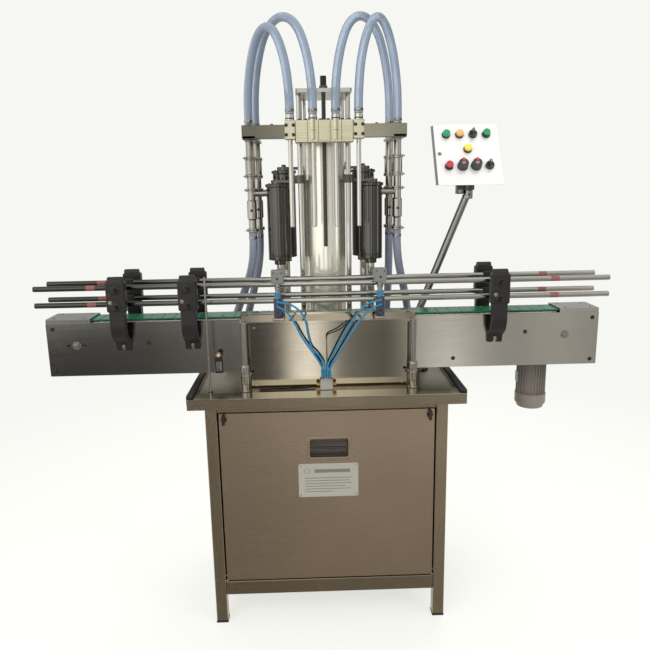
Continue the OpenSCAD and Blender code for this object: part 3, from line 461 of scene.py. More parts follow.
class Sculptor:
    """Gathers one piece's geometry in millimetres and makes its object."""

    def __init__(self, name: str, *finishes: Finish) -> None:
        self.name = name
        self.finishes = finishes
        self.bm = bmesh.new()
        self.uv = self.bm.loops.layers.uv.new("UVMap")
        self.slot = 0

    def paint(self, index: int) -> "Sculptor":
        """Chooses the finish of the next shapes."""
        self.slot = index
        return self

    def _take(self, faces: Iterable[bmesh.types.BMFace]) -> list[bmesh.types.BMFace]:
        kept = list(faces)
        for f in kept:
            f.material_index = self.slot
        return kept

    def _bevel(
        self, faces: list[bmesh.types.BMFace], width: float, segments: int, angle: float = 0.5
    ) -> None:
        edges = {e for f in faces for e in f.edges if len(e.link_faces) == 2 and e.calc_face_angle(0) > angle}
        if edges and width > 0:
            made = bmesh.ops.bevel(
                self.bm,
                geom=list(edges),
                offset=width,
                offset_type="OFFSET",
                affect="EDGES",
                segments=segments,
                profile=0.5,
                material=-1,
                clamp_overlap=True,
            )
            self._take(made["faces"])

    def box(
        self, lo: Point, hi: Point, bevel: float = 0.8, segments: int = 2, turn: Matrix | None = None
    ) -> None:
        """Block between two corners, with rounded edges."""
        a, b = Vector(lo), Vector(hi)
        place = Matrix.Translation((a + b) / 2) @ Matrix.Diagonal((*(b - a), 1))
        made = bmesh.ops.create_cube(self.bm, size=1.0, matrix=(turn or Matrix()) @ place)
        self._bevel(self._take({f for v in made["verts"] for f in v.link_faces}), bevel, segments)

    def _axis(self, axis: Vector) -> Matrix:
        return axis.normalized().to_track_quat("Z", "X").to_matrix().to_4x4()

    def rod(self, a: Point, b: Point, radius: float, sides: int = 40, bevel: float = 0.6) -> None:
        """Cylinder from a to b."""
        start, end = Vector(a), Vector(b)
        place = Matrix.Translation((start + end) / 2) @ self._axis(end - start)
        made = bmesh.ops.create_cone(
            self.bm,
            cap_ends=True,
            segments=sides,
            radius1=radius,
            radius2=radius,
            depth=(end - start).length,
            matrix=place,
        )
        self._bevel(self._take({f for v in made["verts"] for f in v.link_faces}), bevel, 2, 0.9)

    def lathe(self, origin: Point, axis: Point, profile: Sequence[Flat], sides: int = 48) -> None:
        """Turned shape: profile points are (radius, height along axis); a closed profile makes a ring."""
        turn = Matrix.Translation(origin) @ self._axis(Vector(axis))
        verts = [self.bm.verts.new(turn @ Vector((max(r, 0.0), 0, h))) for r, h in profile]
        edges = [self.bm.edges.new((a, b)) for a, b in zip(verts, verts[1:])]
        bmesh.ops.spin(
            self.bm,
            geom=verts + edges,
            axis=Vector(axis).normalized(),
            cent=origin,
            dvec=(0, 0, 0),
            angle=2 * math.pi,
            steps=sides,
            use_merge=True,
            use_duplicate=False,
        )
        faces = {f for v in verts for f in v.link_faces}
        grown = set(faces)
        while faces:
            faces = {g for f in faces for e in f.edges for g in e.link_faces} - grown
            grown |= faces
        self._take(grown)
        bmesh.ops.remove_doubles(self.bm, verts=list({v for f in grown for v in f.verts}), dist=1e-4)
        bmesh.ops.recalc_face_normals(self.bm, faces=[f for f in grown if f.is_valid])

    def hexagon(self, a: Point, b: Point, across: float, bevel: float = 0.8) -> None:
        """Hexagon head from a to b."""
        self.rod(a, b, across / math.sqrt(3), 6, bevel)

    def bolt(self, at: Point, axis: Point, across: float, height: float, washer: float = 1.4) -> None:
        """Hexagon head on a washer standing on a face."""
        p, n = Vector(at), Vector(axis).normalized()
        self.rod(p, p + n * washer, across * 0.85, 28, 0.3)
        self.hexagon(p + n * washer, p + n * (washer + height), across)

    def socket_screw(self, at: Point, axis: Point, radius: float, height: float) -> None:
        """Round cap screw with a hexagon recess."""
        p, n = Vector(at), Vector(axis).normalized()
        r, h = radius, height
        profile = [(r * 0.5, h * 0.35), (r * 0.5, h), (r * 0.86, h), (r, h * 0.86), (r, 0)]
        self.lathe(at, axis, profile, 24)
        self.rod(p + n * 0.02, p + n * (h * 0.4), r * 0.52, 6, 0)

    def prism(
        self, outline: Sequence[Flat], plane: Callable[[float, float, float], Point], low: float,
        high: float, bevel: float = 0.8,
    ) -> None:
        """Solid from a closed outline; plane turns (u, v, depth) into a point."""
        base = self.bm.faces.new([self.bm.verts.new(plane(u, v, low)) for u, v in outline])
        grown = bmesh.ops.extrude_face_region(self.bm, geom=[base])
        fresh = [g for g in grown["geom"] if isinstance(g, bmesh.types.BMVert)]
        shift = Vector(plane(0, 0, high)) - Vector(plane(0, 0, low))
        bmesh.ops.translate(self.bm, verts=fresh, vec=shift)
        faces = {base, *(f for v in fresh for f in v.link_faces)}
        faces |= {f for v in base.verts for f in v.link_faces}
        bmesh.ops.recalc_face_normals(self.bm, faces=list(faces))
        self._bevel(self._take(faces), bevel, 2)

    def plate(
        self, outlines: Sequence[Sequence[Flat]], plane: Callable[[float, float, float], Point],
        low: float, high: float, bevel: float = 0.6,
    ) -> None:
        """Flat solid from one closed outline and the outlines of its holes.

        Args:
            outlines: the rim first, then each hole.
            plane: turns (u, v, depth) into a point.
            low: depth of one face.
            high: depth of the other face.
            bevel: width of the rounded edges.
        """
        edges = []
        for outline in outlines:
            ring = [self.bm.verts.new(plane(u, v, low)) for u, v in outline]
            edges += [self.bm.edges.new((a, b)) for a, b in zip(ring, ring[1:] + ring[:1])]
        normal = (Vector(plane(0, 0, 1)) - Vector(plane(0, 0, 0))).normalized()
        filled = bmesh.ops.triangle_fill(
            self.bm, edges=edges, use_beauty=True, use_dissolve=False, normal=normal
        )
        base = [g for g in filled["geom"] if isinstance(g, bmesh.types.BMFace)]
        grown = bmesh.ops.extrude_face_region(self.bm, geom=base)
        fresh = [g for g in grown["geom"] if isinstance(g, bmesh.types.BMVert)]
        bmesh.ops.translate(self.bm, verts=fresh, vec=Vector(plane(0, 0, high)) - Vector(plane(0, 0, low)))
        faces = {f for v in fresh for f in v.link_faces}
        faces |= {f for f in base if f.is_valid}
        faces |= {f for e in edges if e.is_valid for f in e.link_faces}
        bmesh.ops.recalc_face_normals(self.bm, faces=list(faces))
        self._bevel(self._take(faces), bevel, 2)

    def sweep(
        self, path: Sequence[Vector], radius: float | Callable[[float], float], sides: int = 24
    ) -> None:
        """Round tube with closed ends along a path, with UV across and along it in radii."""
        frames = []
        first = (path[1] - path[0]).normalized()
        side = first.orthogonal().normalized()
        total = route_length(path)
        for i, p in enumerate(path):
            t = (path[min(i + 1, len(path) - 1)] - path[max(i - 1, 0)]).normalized()
            side = (side - t * side.dot(t)).normalized()
            frames.append((p, side.copy(), t.cross(side)))
        rings, run, reach = [], 0.0, []
        for i, (p, u, w) in enumerate(frames):
            if i:
                run += (p - frames[i - 1][0]).length
            r = radius(run / total) if callable(radius) else radius
            reach.append(run)
            rings.append(
                [
                    self.bm.verts.new(p + r * (math.cos(a) * u + math.sin(a) * w))
                    for a in (2 * math.pi * k / sides for k in range(sides))
                ]
            )
        faces = []
        for i in range(len(rings) - 1):
            for k in range(sides):
                n = (k + 1) % sides
                f = self.bm.faces.new((rings[i][k], rings[i][n], rings[i + 1][n], rings[i + 1][k]))
                for loop, (u, v) in zip(f.loops, ((k, i), (k + 1, i), (k + 1, i + 1), (k, i + 1))):
                    loop[self.uv].uv = (u / sides * 6.0, reach[v] / 14.0)
                faces.append(f)
        faces.append(self.bm.faces.new(list(reversed(rings[0]))))
        faces.append(self.bm.faces.new(rings[-1]))
        self._take(faces)

    def done(
        self, body: str | None, replaces: Sequence[str] = (), sharp: float = 0.6
    ) -> bpy.types.Object:
        """Makes the object.

        Args:
            body: the CAD body that it rides on, or None for one that is blended.
            replaces: CAD nodes that it stands for.
            sharp: edges at more than this angle, in radians, stay sharp.

        Returns:
            The linked object, at the origin.
        """
        bmesh.ops.scale(self.bm, vec=(MM,) * 3, verts=self.bm.verts)
        bmesh.ops.recalc_face_normals(self.bm, faces=self.bm.faces)
        for f in self.bm.faces:
            f.smooth = True
        for e in self.bm.edges:
            e.smooth = len(e.link_faces) == 2 and e.calc_face_angle(0) < sharp
        mesh = bpy.data.meshes.new(self.name)
        self.bm.to_mesh(mesh)
        self.bm.free()
        for finish in self.finishes:
            mesh.materials.append(Palette.of(finish))
        made = bpy.data.objects.new(self.name, mesh)
        bpy.context.scene.collection.objects.link(made)
        even = made.modifiers.new("even_normals", "WEIGHTED_NORMAL")
        even.keep_sharp = True
        even.weight = 60
        if body is not None:
            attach(made, body)
        if replaces:
            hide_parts(*replaces)
        return made


# ------------------------------------------------------------------ cords

HEAD_X = 10.0
HOSE_WIDTH = 27
TUBE_WIDTH = 6
CABLE_WIDTH = 4


@dataclass(frozen=True)
class Cord:
    """One hose, tube or cable and the route that its CAD solid follows."""

    name: str
    node: str
    route: tuple[Point, ...]
    diameter: float
    finish: Finish
    slot: str
    sign: float = 1.0
    shift: float = 0.0
    lifts: bool = False
    stiffness: str = "stiff"

    def build(self) -> bpy.types.Object:
        points = [(self.shift + self.sign * x, y, z) for x, y, z in self.route]
        line = smooth_route(points, max(2.0, self.diameter * 0.3))
        s = Sculptor(self.name, self.finish)
        s.sweep(line, self.diameter / 2, 32 if self.diameter > 10 else 16)
        made = s.done(None if self.lifts else "machine", [self.node])
        if self.lifts:
            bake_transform(made)
        return made


UPPER_FRONT = (
    (240, 5, 1642), (240, 5, 1690), (238, 4, 1745), (232, 0, 1800), (223, -8, 1850), (210, -20, 1895),
    (193, -37, 1930), (172, -58, 1945), (151, -79, 1930), (134, -94, 1895), (121, -104, 1850),
    (112, -110, 1800), (107, -112, 1745), (105, -112, 1700), (105, -112, 1662),
)
UPPER_FRONT_LEFT = (
    (240, 5, 1642), (240, 5, 1690), (238, 4, 1740), (232, 0, 1790), (223, -8, 1836), (210, -20, 1878),
    (193, -37, 1908), (172, -58, 1920), (151, -79, 1908), (134, -94, 1876), (121, -104, 1834),
    (112, -110, 1788), (107, -112, 1740), (105, -112, 1700), (105, -112, 1662),
)
UPPER_REAR = (
    (225, 100, 1642), (225, 100, 1690), (223, 98, 1745), (216, 91, 1805), (203, 78, 1865), (185, 58, 1915),
    (160, 30, 1948), (130, -4, 1960), (100, -38, 1948), (75, -66, 1915), (57, -87, 1865), (44, -100, 1805),
    (37, -109, 1745), (35, -112, 1700), (35, -112, 1662),
)
SUCTION_LEFT_FRONT = (
    (-240, 5, 1302), (-240, 5, 1260), (-244, 8, 1210), (-256, 18, 1160), (-275, 40, 1110), (-296, 72, 1060),
    (-315, 110, 1015), (-330, 148, 985), (-338, 176, 960), (-340, 190, 942), (-340, 190, 925),
)
SUCTION_LEFT_REAR = (
    (-225, 100, 1302), (-225, 100, 1260), (-228, 102, 1210), (-236, 108, 1160), (-249, 120, 1110),
    (-263, 138, 1060), (-276, 158, 1015), (-285, 176, 980), (-290, 188, 955), (-290, 190, 940),
    (-290, 190, 925),
)
SUCTION_RIGHT_REAR = (
    (225, 100, 1302), (225, 100, 1260), (225, 102, 1210), (225, 108, 1160), (225, 120, 1110),
    (225, 138, 1060), (225, 158, 1015), (225, 176, 980), (225, 188, 955), (225, 190, 940), (225, 190, 925),
)
SUCTION_RIGHT_FRONT = (
    (240, 5, 1302), (240, 5, 1260), (244, 8, 1210), (254, 22, 1160), (268, 48, 1110), (282, 80, 1060),
    (294, 116, 1015), (303, 150, 985), (309, 176, 960), (310, 190, 942), (310, 190, 925),
)
AIR_LEFT_OUTER = (
    (-12, -224, 875), (-12, -224, 890), (-18, -225, 905), (-32, -227, 930), (-55, -230, 965),
    (-76, -233, 1000), (-92, -236, 1035), (-108, -237, 1062), (-124, -236, 1080), (-144, -231, 1090),
    (-144, -226, 1090),
)
AIR_LEFT_INNER = (
    (-4, -224, 875), (-4, -224, 893), (-8, -224, 910), (-24, -225, 935), (-44, -226, 960),
    (-54, -228, 1000), (-60, -231, 1040), (-76, -236, 1075), (-106, -240, 1098), (-134, -238, 1104),
    (-144, -231, 1104), (-144, -226, 1104),
)
AIR_RIGHT_INNER = (
    (4, -224, 875), (4, -224, 893), (10, -224, 912), (24, -225, 940), (42, -227, 975), (62, -230, 1010),
    (84, -234, 1045), (108, -239, 1078), (134, -242, 1098), (158, -238, 1104), (170, -231, 1104),
    (170, -226, 1104),
)
AIR_RIGHT_OUTER = (
    (12, -224, 875), (12, -224, 890), (20, -225, 906), (38, -227, 935), (60, -230, 972), (82, -233, 1008),
    (104, -236, 1042), (126, -238, 1068), (148, -237, 1084), (170, -231, 1090), (170, -226, 1090),
)
CABLE_FLOOR = (
    (-20, -217, 828), (-30, -217, 828), (-50, -218, 821), (-90, -220, 819.5), (-130, -215, 819.5),
    (-170, -213, 819.5), (-212, -209, 819.5),
)
CABLE_PROBE = (
    (3, -215, 984), (3, -215, 992), (10, -217, 1000), (30, -221, 1008), (50, -225, 1020), (72, -228, 1042),
    (96, -229, 1066), (118, -227, 1080), (146, -216, 1080), (156, -216, 1080),
)

CORDS = (
    *(
        Cord(
            f"hose_{side}_{row}", f"upper_hoses_{side}", route, HOSE_WIDTH, CLEAR_HOSE, "hose_clear",
            sign, HEAD_X, True,
        )
        for side, row, sign, route in (
            ("left", "front", -1, UPPER_FRONT_LEFT),
            ("left", "rear", -1, UPPER_REAR),
            ("right", "front", 1, UPPER_FRONT),
            ("right", "rear", 1, UPPER_REAR),
        )
    ),
    *(
        Cord(name, "suction_hoses", route, HOSE_WIDTH, VIOLET_HOSE, "hose_violet", 1, HEAD_X)
        for name, route in (
            ("suction_left_front", SUCTION_LEFT_FRONT),
            ("suction_left_rear", SUCTION_LEFT_REAR),
            ("suction_right_rear", SUCTION_RIGHT_REAR),
            ("suction_right_front", SUCTION_RIGHT_FRONT),
        )
    ),
    *(
        Cord(name, "air_tubes", route, TUBE_WIDTH, AIR_BLUE, "tube_blue")
        for name, route in (
            ("air_left_outer", AIR_LEFT_OUTER),
            ("air_left_inner", AIR_LEFT_INNER),
            ("air_right_inner", AIR_RIGHT_INNER),
            ("air_right_outer", AIR_RIGHT_OUTER),
        )
    ),
    Cord("cable_floor", "sensor_cables", CABLE_FLOOR, CABLE_WIDTH, CABLE, "cable_black", stiffness="medium"),
    Cord("cable_probe", "sensor_cables", CABLE_PROBE, CABLE_WIDTH, CABLE, "cable_black", stiffness="medium"),
)


# ------------------------------------------------------------------ outlines


def extent(node: str) -> tuple[Vector, Vector]:
    """Lowest and highest corner of a CAD node, in millimetres."""
    low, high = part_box(node)
    return low / MM, high / MM


def round_rect(x: Flat, z: Flat, radius: float, steps: int = 5) -> list[Flat]:
    """Outline of a rectangle with rounded corners, anticlockwise."""
    points = []
    for cx, cz, start in (
        (x[1] - radius, z[1] - radius, 0),
        (x[0] + radius, z[1] - radius, 90),
        (x[0] + radius, z[0] + radius, 180),
        (x[1] - radius, z[0] + radius, 270),
    ):
        for k in range(steps + 1):
            a = math.radians(start + 90 * k / steps)
            points.append((cx + radius * math.cos(a), cz + radius * math.sin(a)))
    return points


def on_circle(count: int, radius: float, centre: Flat = (0.0, 0.0), start: float = 0.0) -> list[Flat]:
    """Places spaced evenly on a circle, the first at a starting angle in degrees."""
    turns = (math.radians(start) + 2 * math.pi * k / count for k in range(count))
    return [(centre[0] + radius * math.cos(a), centre[1] + radius * math.sin(a)) for a in turns]


def disc(x: float, z: float, radius: float, sides: int = 28) -> list[Flat]:
    """Outline of a circle."""
    return on_circle(sides, radius, (x, z))


def facing(u: float, v: float, depth: float) -> Point:
    """Point of an outline drawn on an XZ plane; depth runs along Y."""
    return (u, depth, v)


def upward(u: float, v: float, depth: float) -> Point:
    """Point of an outline drawn on an XY plane; depth runs along Z."""
    return (u, v, depth)


def sideways(u: float, v: float, depth: float) -> Point:
    """Point of an outline drawn on a YZ plane; depth runs along X."""
    return (depth, u, v)


# ------------------------------------------------------------------ cabinet


@dataclass
class Cabinet:
    """Square-tube frame, its sheets, the front panel and what is on it."""

    leg: float = 38.0
    sheet: float = 2.0
    front: float = -220.0
    latch_x: float = 328.0
    latch_z: float = 730.0
    handle_x: Flat = (-65.0, 74.0)
    handle_z: Flat = (585.0, 663.0)
    door_z: Flat = (160.0, 748.0)

    def frame(self) -> None:
        """Four legs and two rings of rails, with a weld bead at each joint."""
        lo, hi = extent("frame")
        s = Sculptor("cabinet_frame", FRAME, RAIL, DARK_STEEL)
        xs, ys = (lo.x, hi.x - self.leg), (lo.y, hi.y - self.leg)
        for x in xs:
            for y in ys:
                s.paint(0).box((x, y, lo.z), (x + self.leg, y + self.leg, hi.z), 3.0, 3)
        for z in ((105.0, 155.0), (750.0, 789.0)):
            for y in ys:
                s.paint(1).box((xs[0] + self.leg, y + 0.3, z[0]), (xs[1], y + self.leg - 0.3, z[1]), 2.5, 3)
            for x in xs:
                s.paint(1).box((x + 0.3, ys[0] + self.leg, z[0]), (x + self.leg - 0.3, ys[1], z[1]), 2.5, 3)
            for x in (xs[0] + self.leg, xs[1]):
                for y in (ys[0] + 1, ys[1] + self.leg - 1):
                    s.paint(2).rod((x, y, z[0] + 3), (x, y, z[1] - 3), 1.3, 10, 0)
        s.done("machine", ["frame"])

    def feet(self) -> None:
        """Rubber shoes under the legs: a thin wide sole under a slightly narrower block."""
        lo, hi = extent("feet")
        s = Sculptor("foot_pads", RUBBER)
        side = self.leg + 2
        for x in (lo.x, hi.x - side):
            for y in (lo.y, hi.y - side):
                s.box((x, y, 0), (x + side, y + side, 4.4), 1.2, 2)
                s.box((x + 1, y + 1, 4.0), (x + side - 1, y + side - 1, hi.z), 0.6, 2)
        s.done("machine", ["feet"])

    def sheets(self) -> None:
        """Side, back and bottom sheets with a row of rivets along each edge."""
        lo, hi = extent("cabinet_panels")
        s = Sculptor("cabinet_sheets", PANEL, TURNED)
        y = (self.front + self.leg, 222.0)
        z = (155.0, 750.0)
        for x, out in ((lo.x, -1), (hi.x - self.sheet, 1)):
            s.paint(0).box((x, y[0], z[0]), (x + self.sheet, y[1], z[1]), 0.5)
            face = x if out < 0 else x + self.sheet
            for k in range(8):
                for line in (y[0] + 12, y[1] - 12):
                    at = (face, line, z[0] + 25 + k * (z[1] - z[0] - 50) / 7)
                    s.paint(1).lathe(at, (out, 0, 0), RIVET, 16)
        x = (-349.0, 349.0)
        s.paint(0).box((x[0], hi.y - self.sheet, z[0]), (x[1], hi.y, z[1]), 0.5)
        for k in range(9):
            for line in (z[0] + 14, z[1] - 14):
                at = (x[0] + 25 + k * (x[1] - x[0] - 50) / 8, hi.y, line)
                s.paint(1).lathe(at, BACK, RIVET, 16)
        for k in range(9):
            z0 = 560 + k * 14
            s.paint(1).box((-110, hi.y - 0.2, z0), (110, hi.y + 1.4, z0 + 5), 0.9)
        s.paint(0).box((x[0], lo.y, z[0]), (x[1], y[1], z[0] + self.sheet), 0.4)
        s.done("machine", ["cabinet_panels"])

    def door(self) -> None:
        """Folded pan with its cut-outs, turned edges and pivot pins."""
        lo, hi = -344.0, 344.0
        z = self.door_z
        s = Sculptor("front_door", DOOR, TURNED)
        margin, (hx, hz) = 5.0, (self.handle_x, self.handle_z)
        cuts = [disc(x, self.latch_z, 5.05, 20) for x in (-self.latch_x, self.latch_x)]
        cuts.insert(0, round_rect((hx[0] + margin, hx[1] - margin), (hz[0] + margin, hz[1] - margin), 4))
        skin = self.front + self.sheet
        s.plate([round_rect((lo, hi), z, 4), *cuts], facing, self.front, skin, 0.7)
        back = self.front + 18
        for x in (lo, hi - self.sheet):
            s.box((x, skin - 0.5, z[0] + 4), (x + self.sheet, back, z[1] - 4), 0.5)
        for low in (z[0], z[1] - self.sheet):
            s.box((lo + 4, skin - 0.5, low), (hi - 4, back, low + self.sheet), 0.5)
        for x in (-200.0, 200.0):
            s.box((x - 20, skin, z[0] + 3), (x + 20, skin + 10, z[1] - 3), 0.6)
        for a, b in ((-348.5, -340.0), (340.0, 348.5)):
            s.paint(1).rod((a, self.front, z[0]), (b, self.front, z[0]), 2.5, 20, 0.4)
        s.done("door", ["front_panel"])

    def handle(self) -> None:
        """Recessed pull: rounded flange, deep pocket and a grab bar across it."""
        x, z, y = self.handle_x, self.handle_z, self.front
        inner = (x[0] + 8, x[1] - 8), (z[0] + 8, z[1] - 8)
        s = Sculptor("door_handle", HANDLE_POCKET, HANDLE_METAL, TURNED, DOOR)
        s.paint(3).plate([round_rect(x, z, 9), round_rect(*inner, 5)], facing, y - 3, y, 0.9)
        # The pocket walls and the grab bar take the near-black finish, far darker than the flange round them.
        s.paint(0)
        s.plate(
            [round_rect((x[0] + 5.3, x[1] - 5.3), (z[0] + 5.3, z[1] - 5.3), 4), round_rect(*inner, 4)],
            facing, y, y + 34, 0.4,
        )
        s.paint(1).box(
            (inner[0][0] - 2, y + 30, inner[1][0] - 2), (inner[0][1] + 2, y + 34, inner[1][1] + 2), 0.5
        )
        middle = (z[0] + z[1]) / 2
        s.paint(0).rod((inner[0][0] - 1, y + 2, middle), (inner[0][1] + 1, y + 2, middle), 4.0, 24, 0.5)
        s.paint(1).box((inner[0][0], y + 8, inner[1][0]), (inner[0][1], y + 30, inner[1][0] + 1.5), 0.4)
        for cx in (x[0] + 4.2, x[1] - 4.2):
            for cz in (z[0] + 12, z[1] - 12):
                s.paint(2).lathe((cx, y - 3, cz), FRONT, [(0, 0.5), (1.0, 0.9), (2.0, 0.5), (2.4, 0)], 16)
        s.done("door", ["pull_handle"])

    def plate(self) -> None:
        """Plain rating plate: ruled lines, an empty round mark and four rivets."""
        lo, hi = extent("name_plate")
        s = Sculptor("rating_plate", PLATE, PLATE_INK, TURNED)
        s.plate([round_rect((lo.x, hi.x), (lo.z, hi.z), 6)], facing, lo.y + 0.25, hi.y, 0.3)
        face = lo.y + 0.25
        s.paint(1)
        ring = [(8.0, 0.0), (8.0, 0.12), (9.4, 0.12), (9.4, 0.0)]
        s.lathe((lo.x + 28, face, hi.z - 26), FRONT, ring, 32)
        s.box((lo.x + 52, face - 0.12, hi.z - 32), (hi.x - 26, face, hi.z - 20), 0.05, 1)
        for k, reach in enumerate((1.0, 0.94, 1.0, 0.86, 0.97, 0.62)):
            z = hi.z - 50 - 9.5 * k
            width = (hi.x - lo.x - 40) * reach
            s.box((lo.x + 20, face - 0.1, z - 1.2), (lo.x + 20 + width, face, z + 1.2), 0.05, 1)
        for x in (lo.x + 7, hi.x - 7):
            for z in (lo.z + 7, hi.z - 7):
                s.paint(2).lathe((x, face, z), FRONT, [(0, 0.7), (1.4, 0.6), (2.4, 0.2), (2.6, 0)], 16)
        s.done("door", ["name_plate"])

    def latches(self) -> None:
        """Quarter-turn latches: collar, tapered wing and the cam behind."""
        for side, x in (("left", -self.latch_x), ("right", self.latch_x)):
            z, y = self.latch_z, self.front
            s = Sculptor(f"quarter_turn_{side}", LATCH, TURNED)
            profile = [(0, 5.6), (8.2, 5.6), (9.6, 4.6), (10.0, 3.0), (10.0, 0.3), (0, 0.3)]
            s.lathe((x, y, z), FRONT, profile, 36)
            s.prism(round_rect((x - 5, x + 5), (z - 17, z + 17), 4.5), facing, y - 15.6, y - 5, 1.2)
            s.paint(1).rod((x, y - 0.4, z), (x, y + 14, z), 4.9, 24, 0.5)
            s.box((x - 6, y + 9, z - 26), (x + 6, y + 12, z + 6), 0.6)
            s.hexagon((x, y + 12, z), (x, y + 14.5, z), 8, 0.4)
            s.done(f"latch_{side}", [f"latch_{side}"])

    def build(self) -> None:
        """Makes every piece of the cabinet."""
        for make in (self.frame, self.feet, self.sheets, self.door, self.handle, self.plate, self.latches):
            make()
        LOG.info("cabinet done")


@dataclass
class Table:
    """Drip tray with its raised rim and the rubber edging on its ends."""

    front_rim: float = 60.0
    side_rim: float = 22.0
    floor: float = 817.0

    def tray(self) -> None:
        """Pressed tray: rounded rim, recessed floor, skirt and bored rod holes."""
        lo, hi = extent("table_tray")
        s = Sculptor("drip_table", TRAY, RAIL, DARK_STEEL)
        inner_x = (lo.x + self.side_rim, hi.x - self.side_rim)
        inner_y = (lo.y + self.front_rim, hi.y - self.side_rim)
        edge = round_rect((lo.x, hi.x), (lo.y, hi.y), 5)
        well = round_rect(inner_x, inner_y, 10)
        s.plate([edge, well], upward, hi.z - 3, hi.z, 1.2)
        holes = [disc(10 + sx * dx, y, 16.5) for dx, y in ((152, 5), (135, 100)) for sx in (-1, 1)]
        # The floor, walls, skirt and drain take the darker rail steel while the rim top keeps the tray steel:
        # painted shade in the recess and on the skirt.
        s.paint(1).plate([well, *holes], upward, 812.0, self.floor, 0.5)
        for y in (lo.y, hi.y - 3):
            s.box((lo.x, y, lo.z), (hi.x, y + 3, hi.z - 1), 1.0)
        for x in (lo.x, hi.x - 3):
            s.box((x, lo.y + 1, lo.z), (x + 3, hi.y - 1, hi.z - 1), 1.0)
        wall = round_rect((inner_x[0] - 2, inner_x[1] + 2), (inner_y[0] - 2, inner_y[1] + 2), 12)
        s.plate([wall, well], upward, 812.0, hi.z - 2, 0.3)
        s.lathe((-385, 262, self.floor), UP, [(0, 0.4), (11, 0.4), (13, 0.9), (14, 0)], 28)
        s.paint(2)
        for px, py in on_circle(8, 7, (-385, 262)):
            s.rod((px, py, 817.2), (px, py, 817.6), 1.6, 12, 0)
        s.done("machine", ["table_tray"])

    def edging(self) -> None:
        """Ribbed rubber sleeve over each end of the rim."""
        lo, hi = extent("tray_edging")
        s = Sculptor("end_edging", RUBBER)
        for m in (-1, 1):
            inner, rim, outer = m * 409, m * 426, m * 429
            x = sorted((inner, outer))
            s.box((x[0], lo.y, 823), (x[1], hi.y, hi.z), 2.6, 3)
            x = sorted((rim, outer))
            s.box((x[0], lo.y, lo.z), (x[1], hi.y, 826), 1.2, 2)
            for z in (806, 812, 818):
                s.rod((m * 428.4, lo.y + 2, z), (m * 428.4, hi.y - 2, z), 1.0, 8, 0)
        s.done("machine", ["tray_edging"])

    def build(self) -> None:
        """Makes the table's pieces."""
        self.tray()
        self.edging()
        LOG.info("table done")


# ------------------------------------------------------------------ conveyor


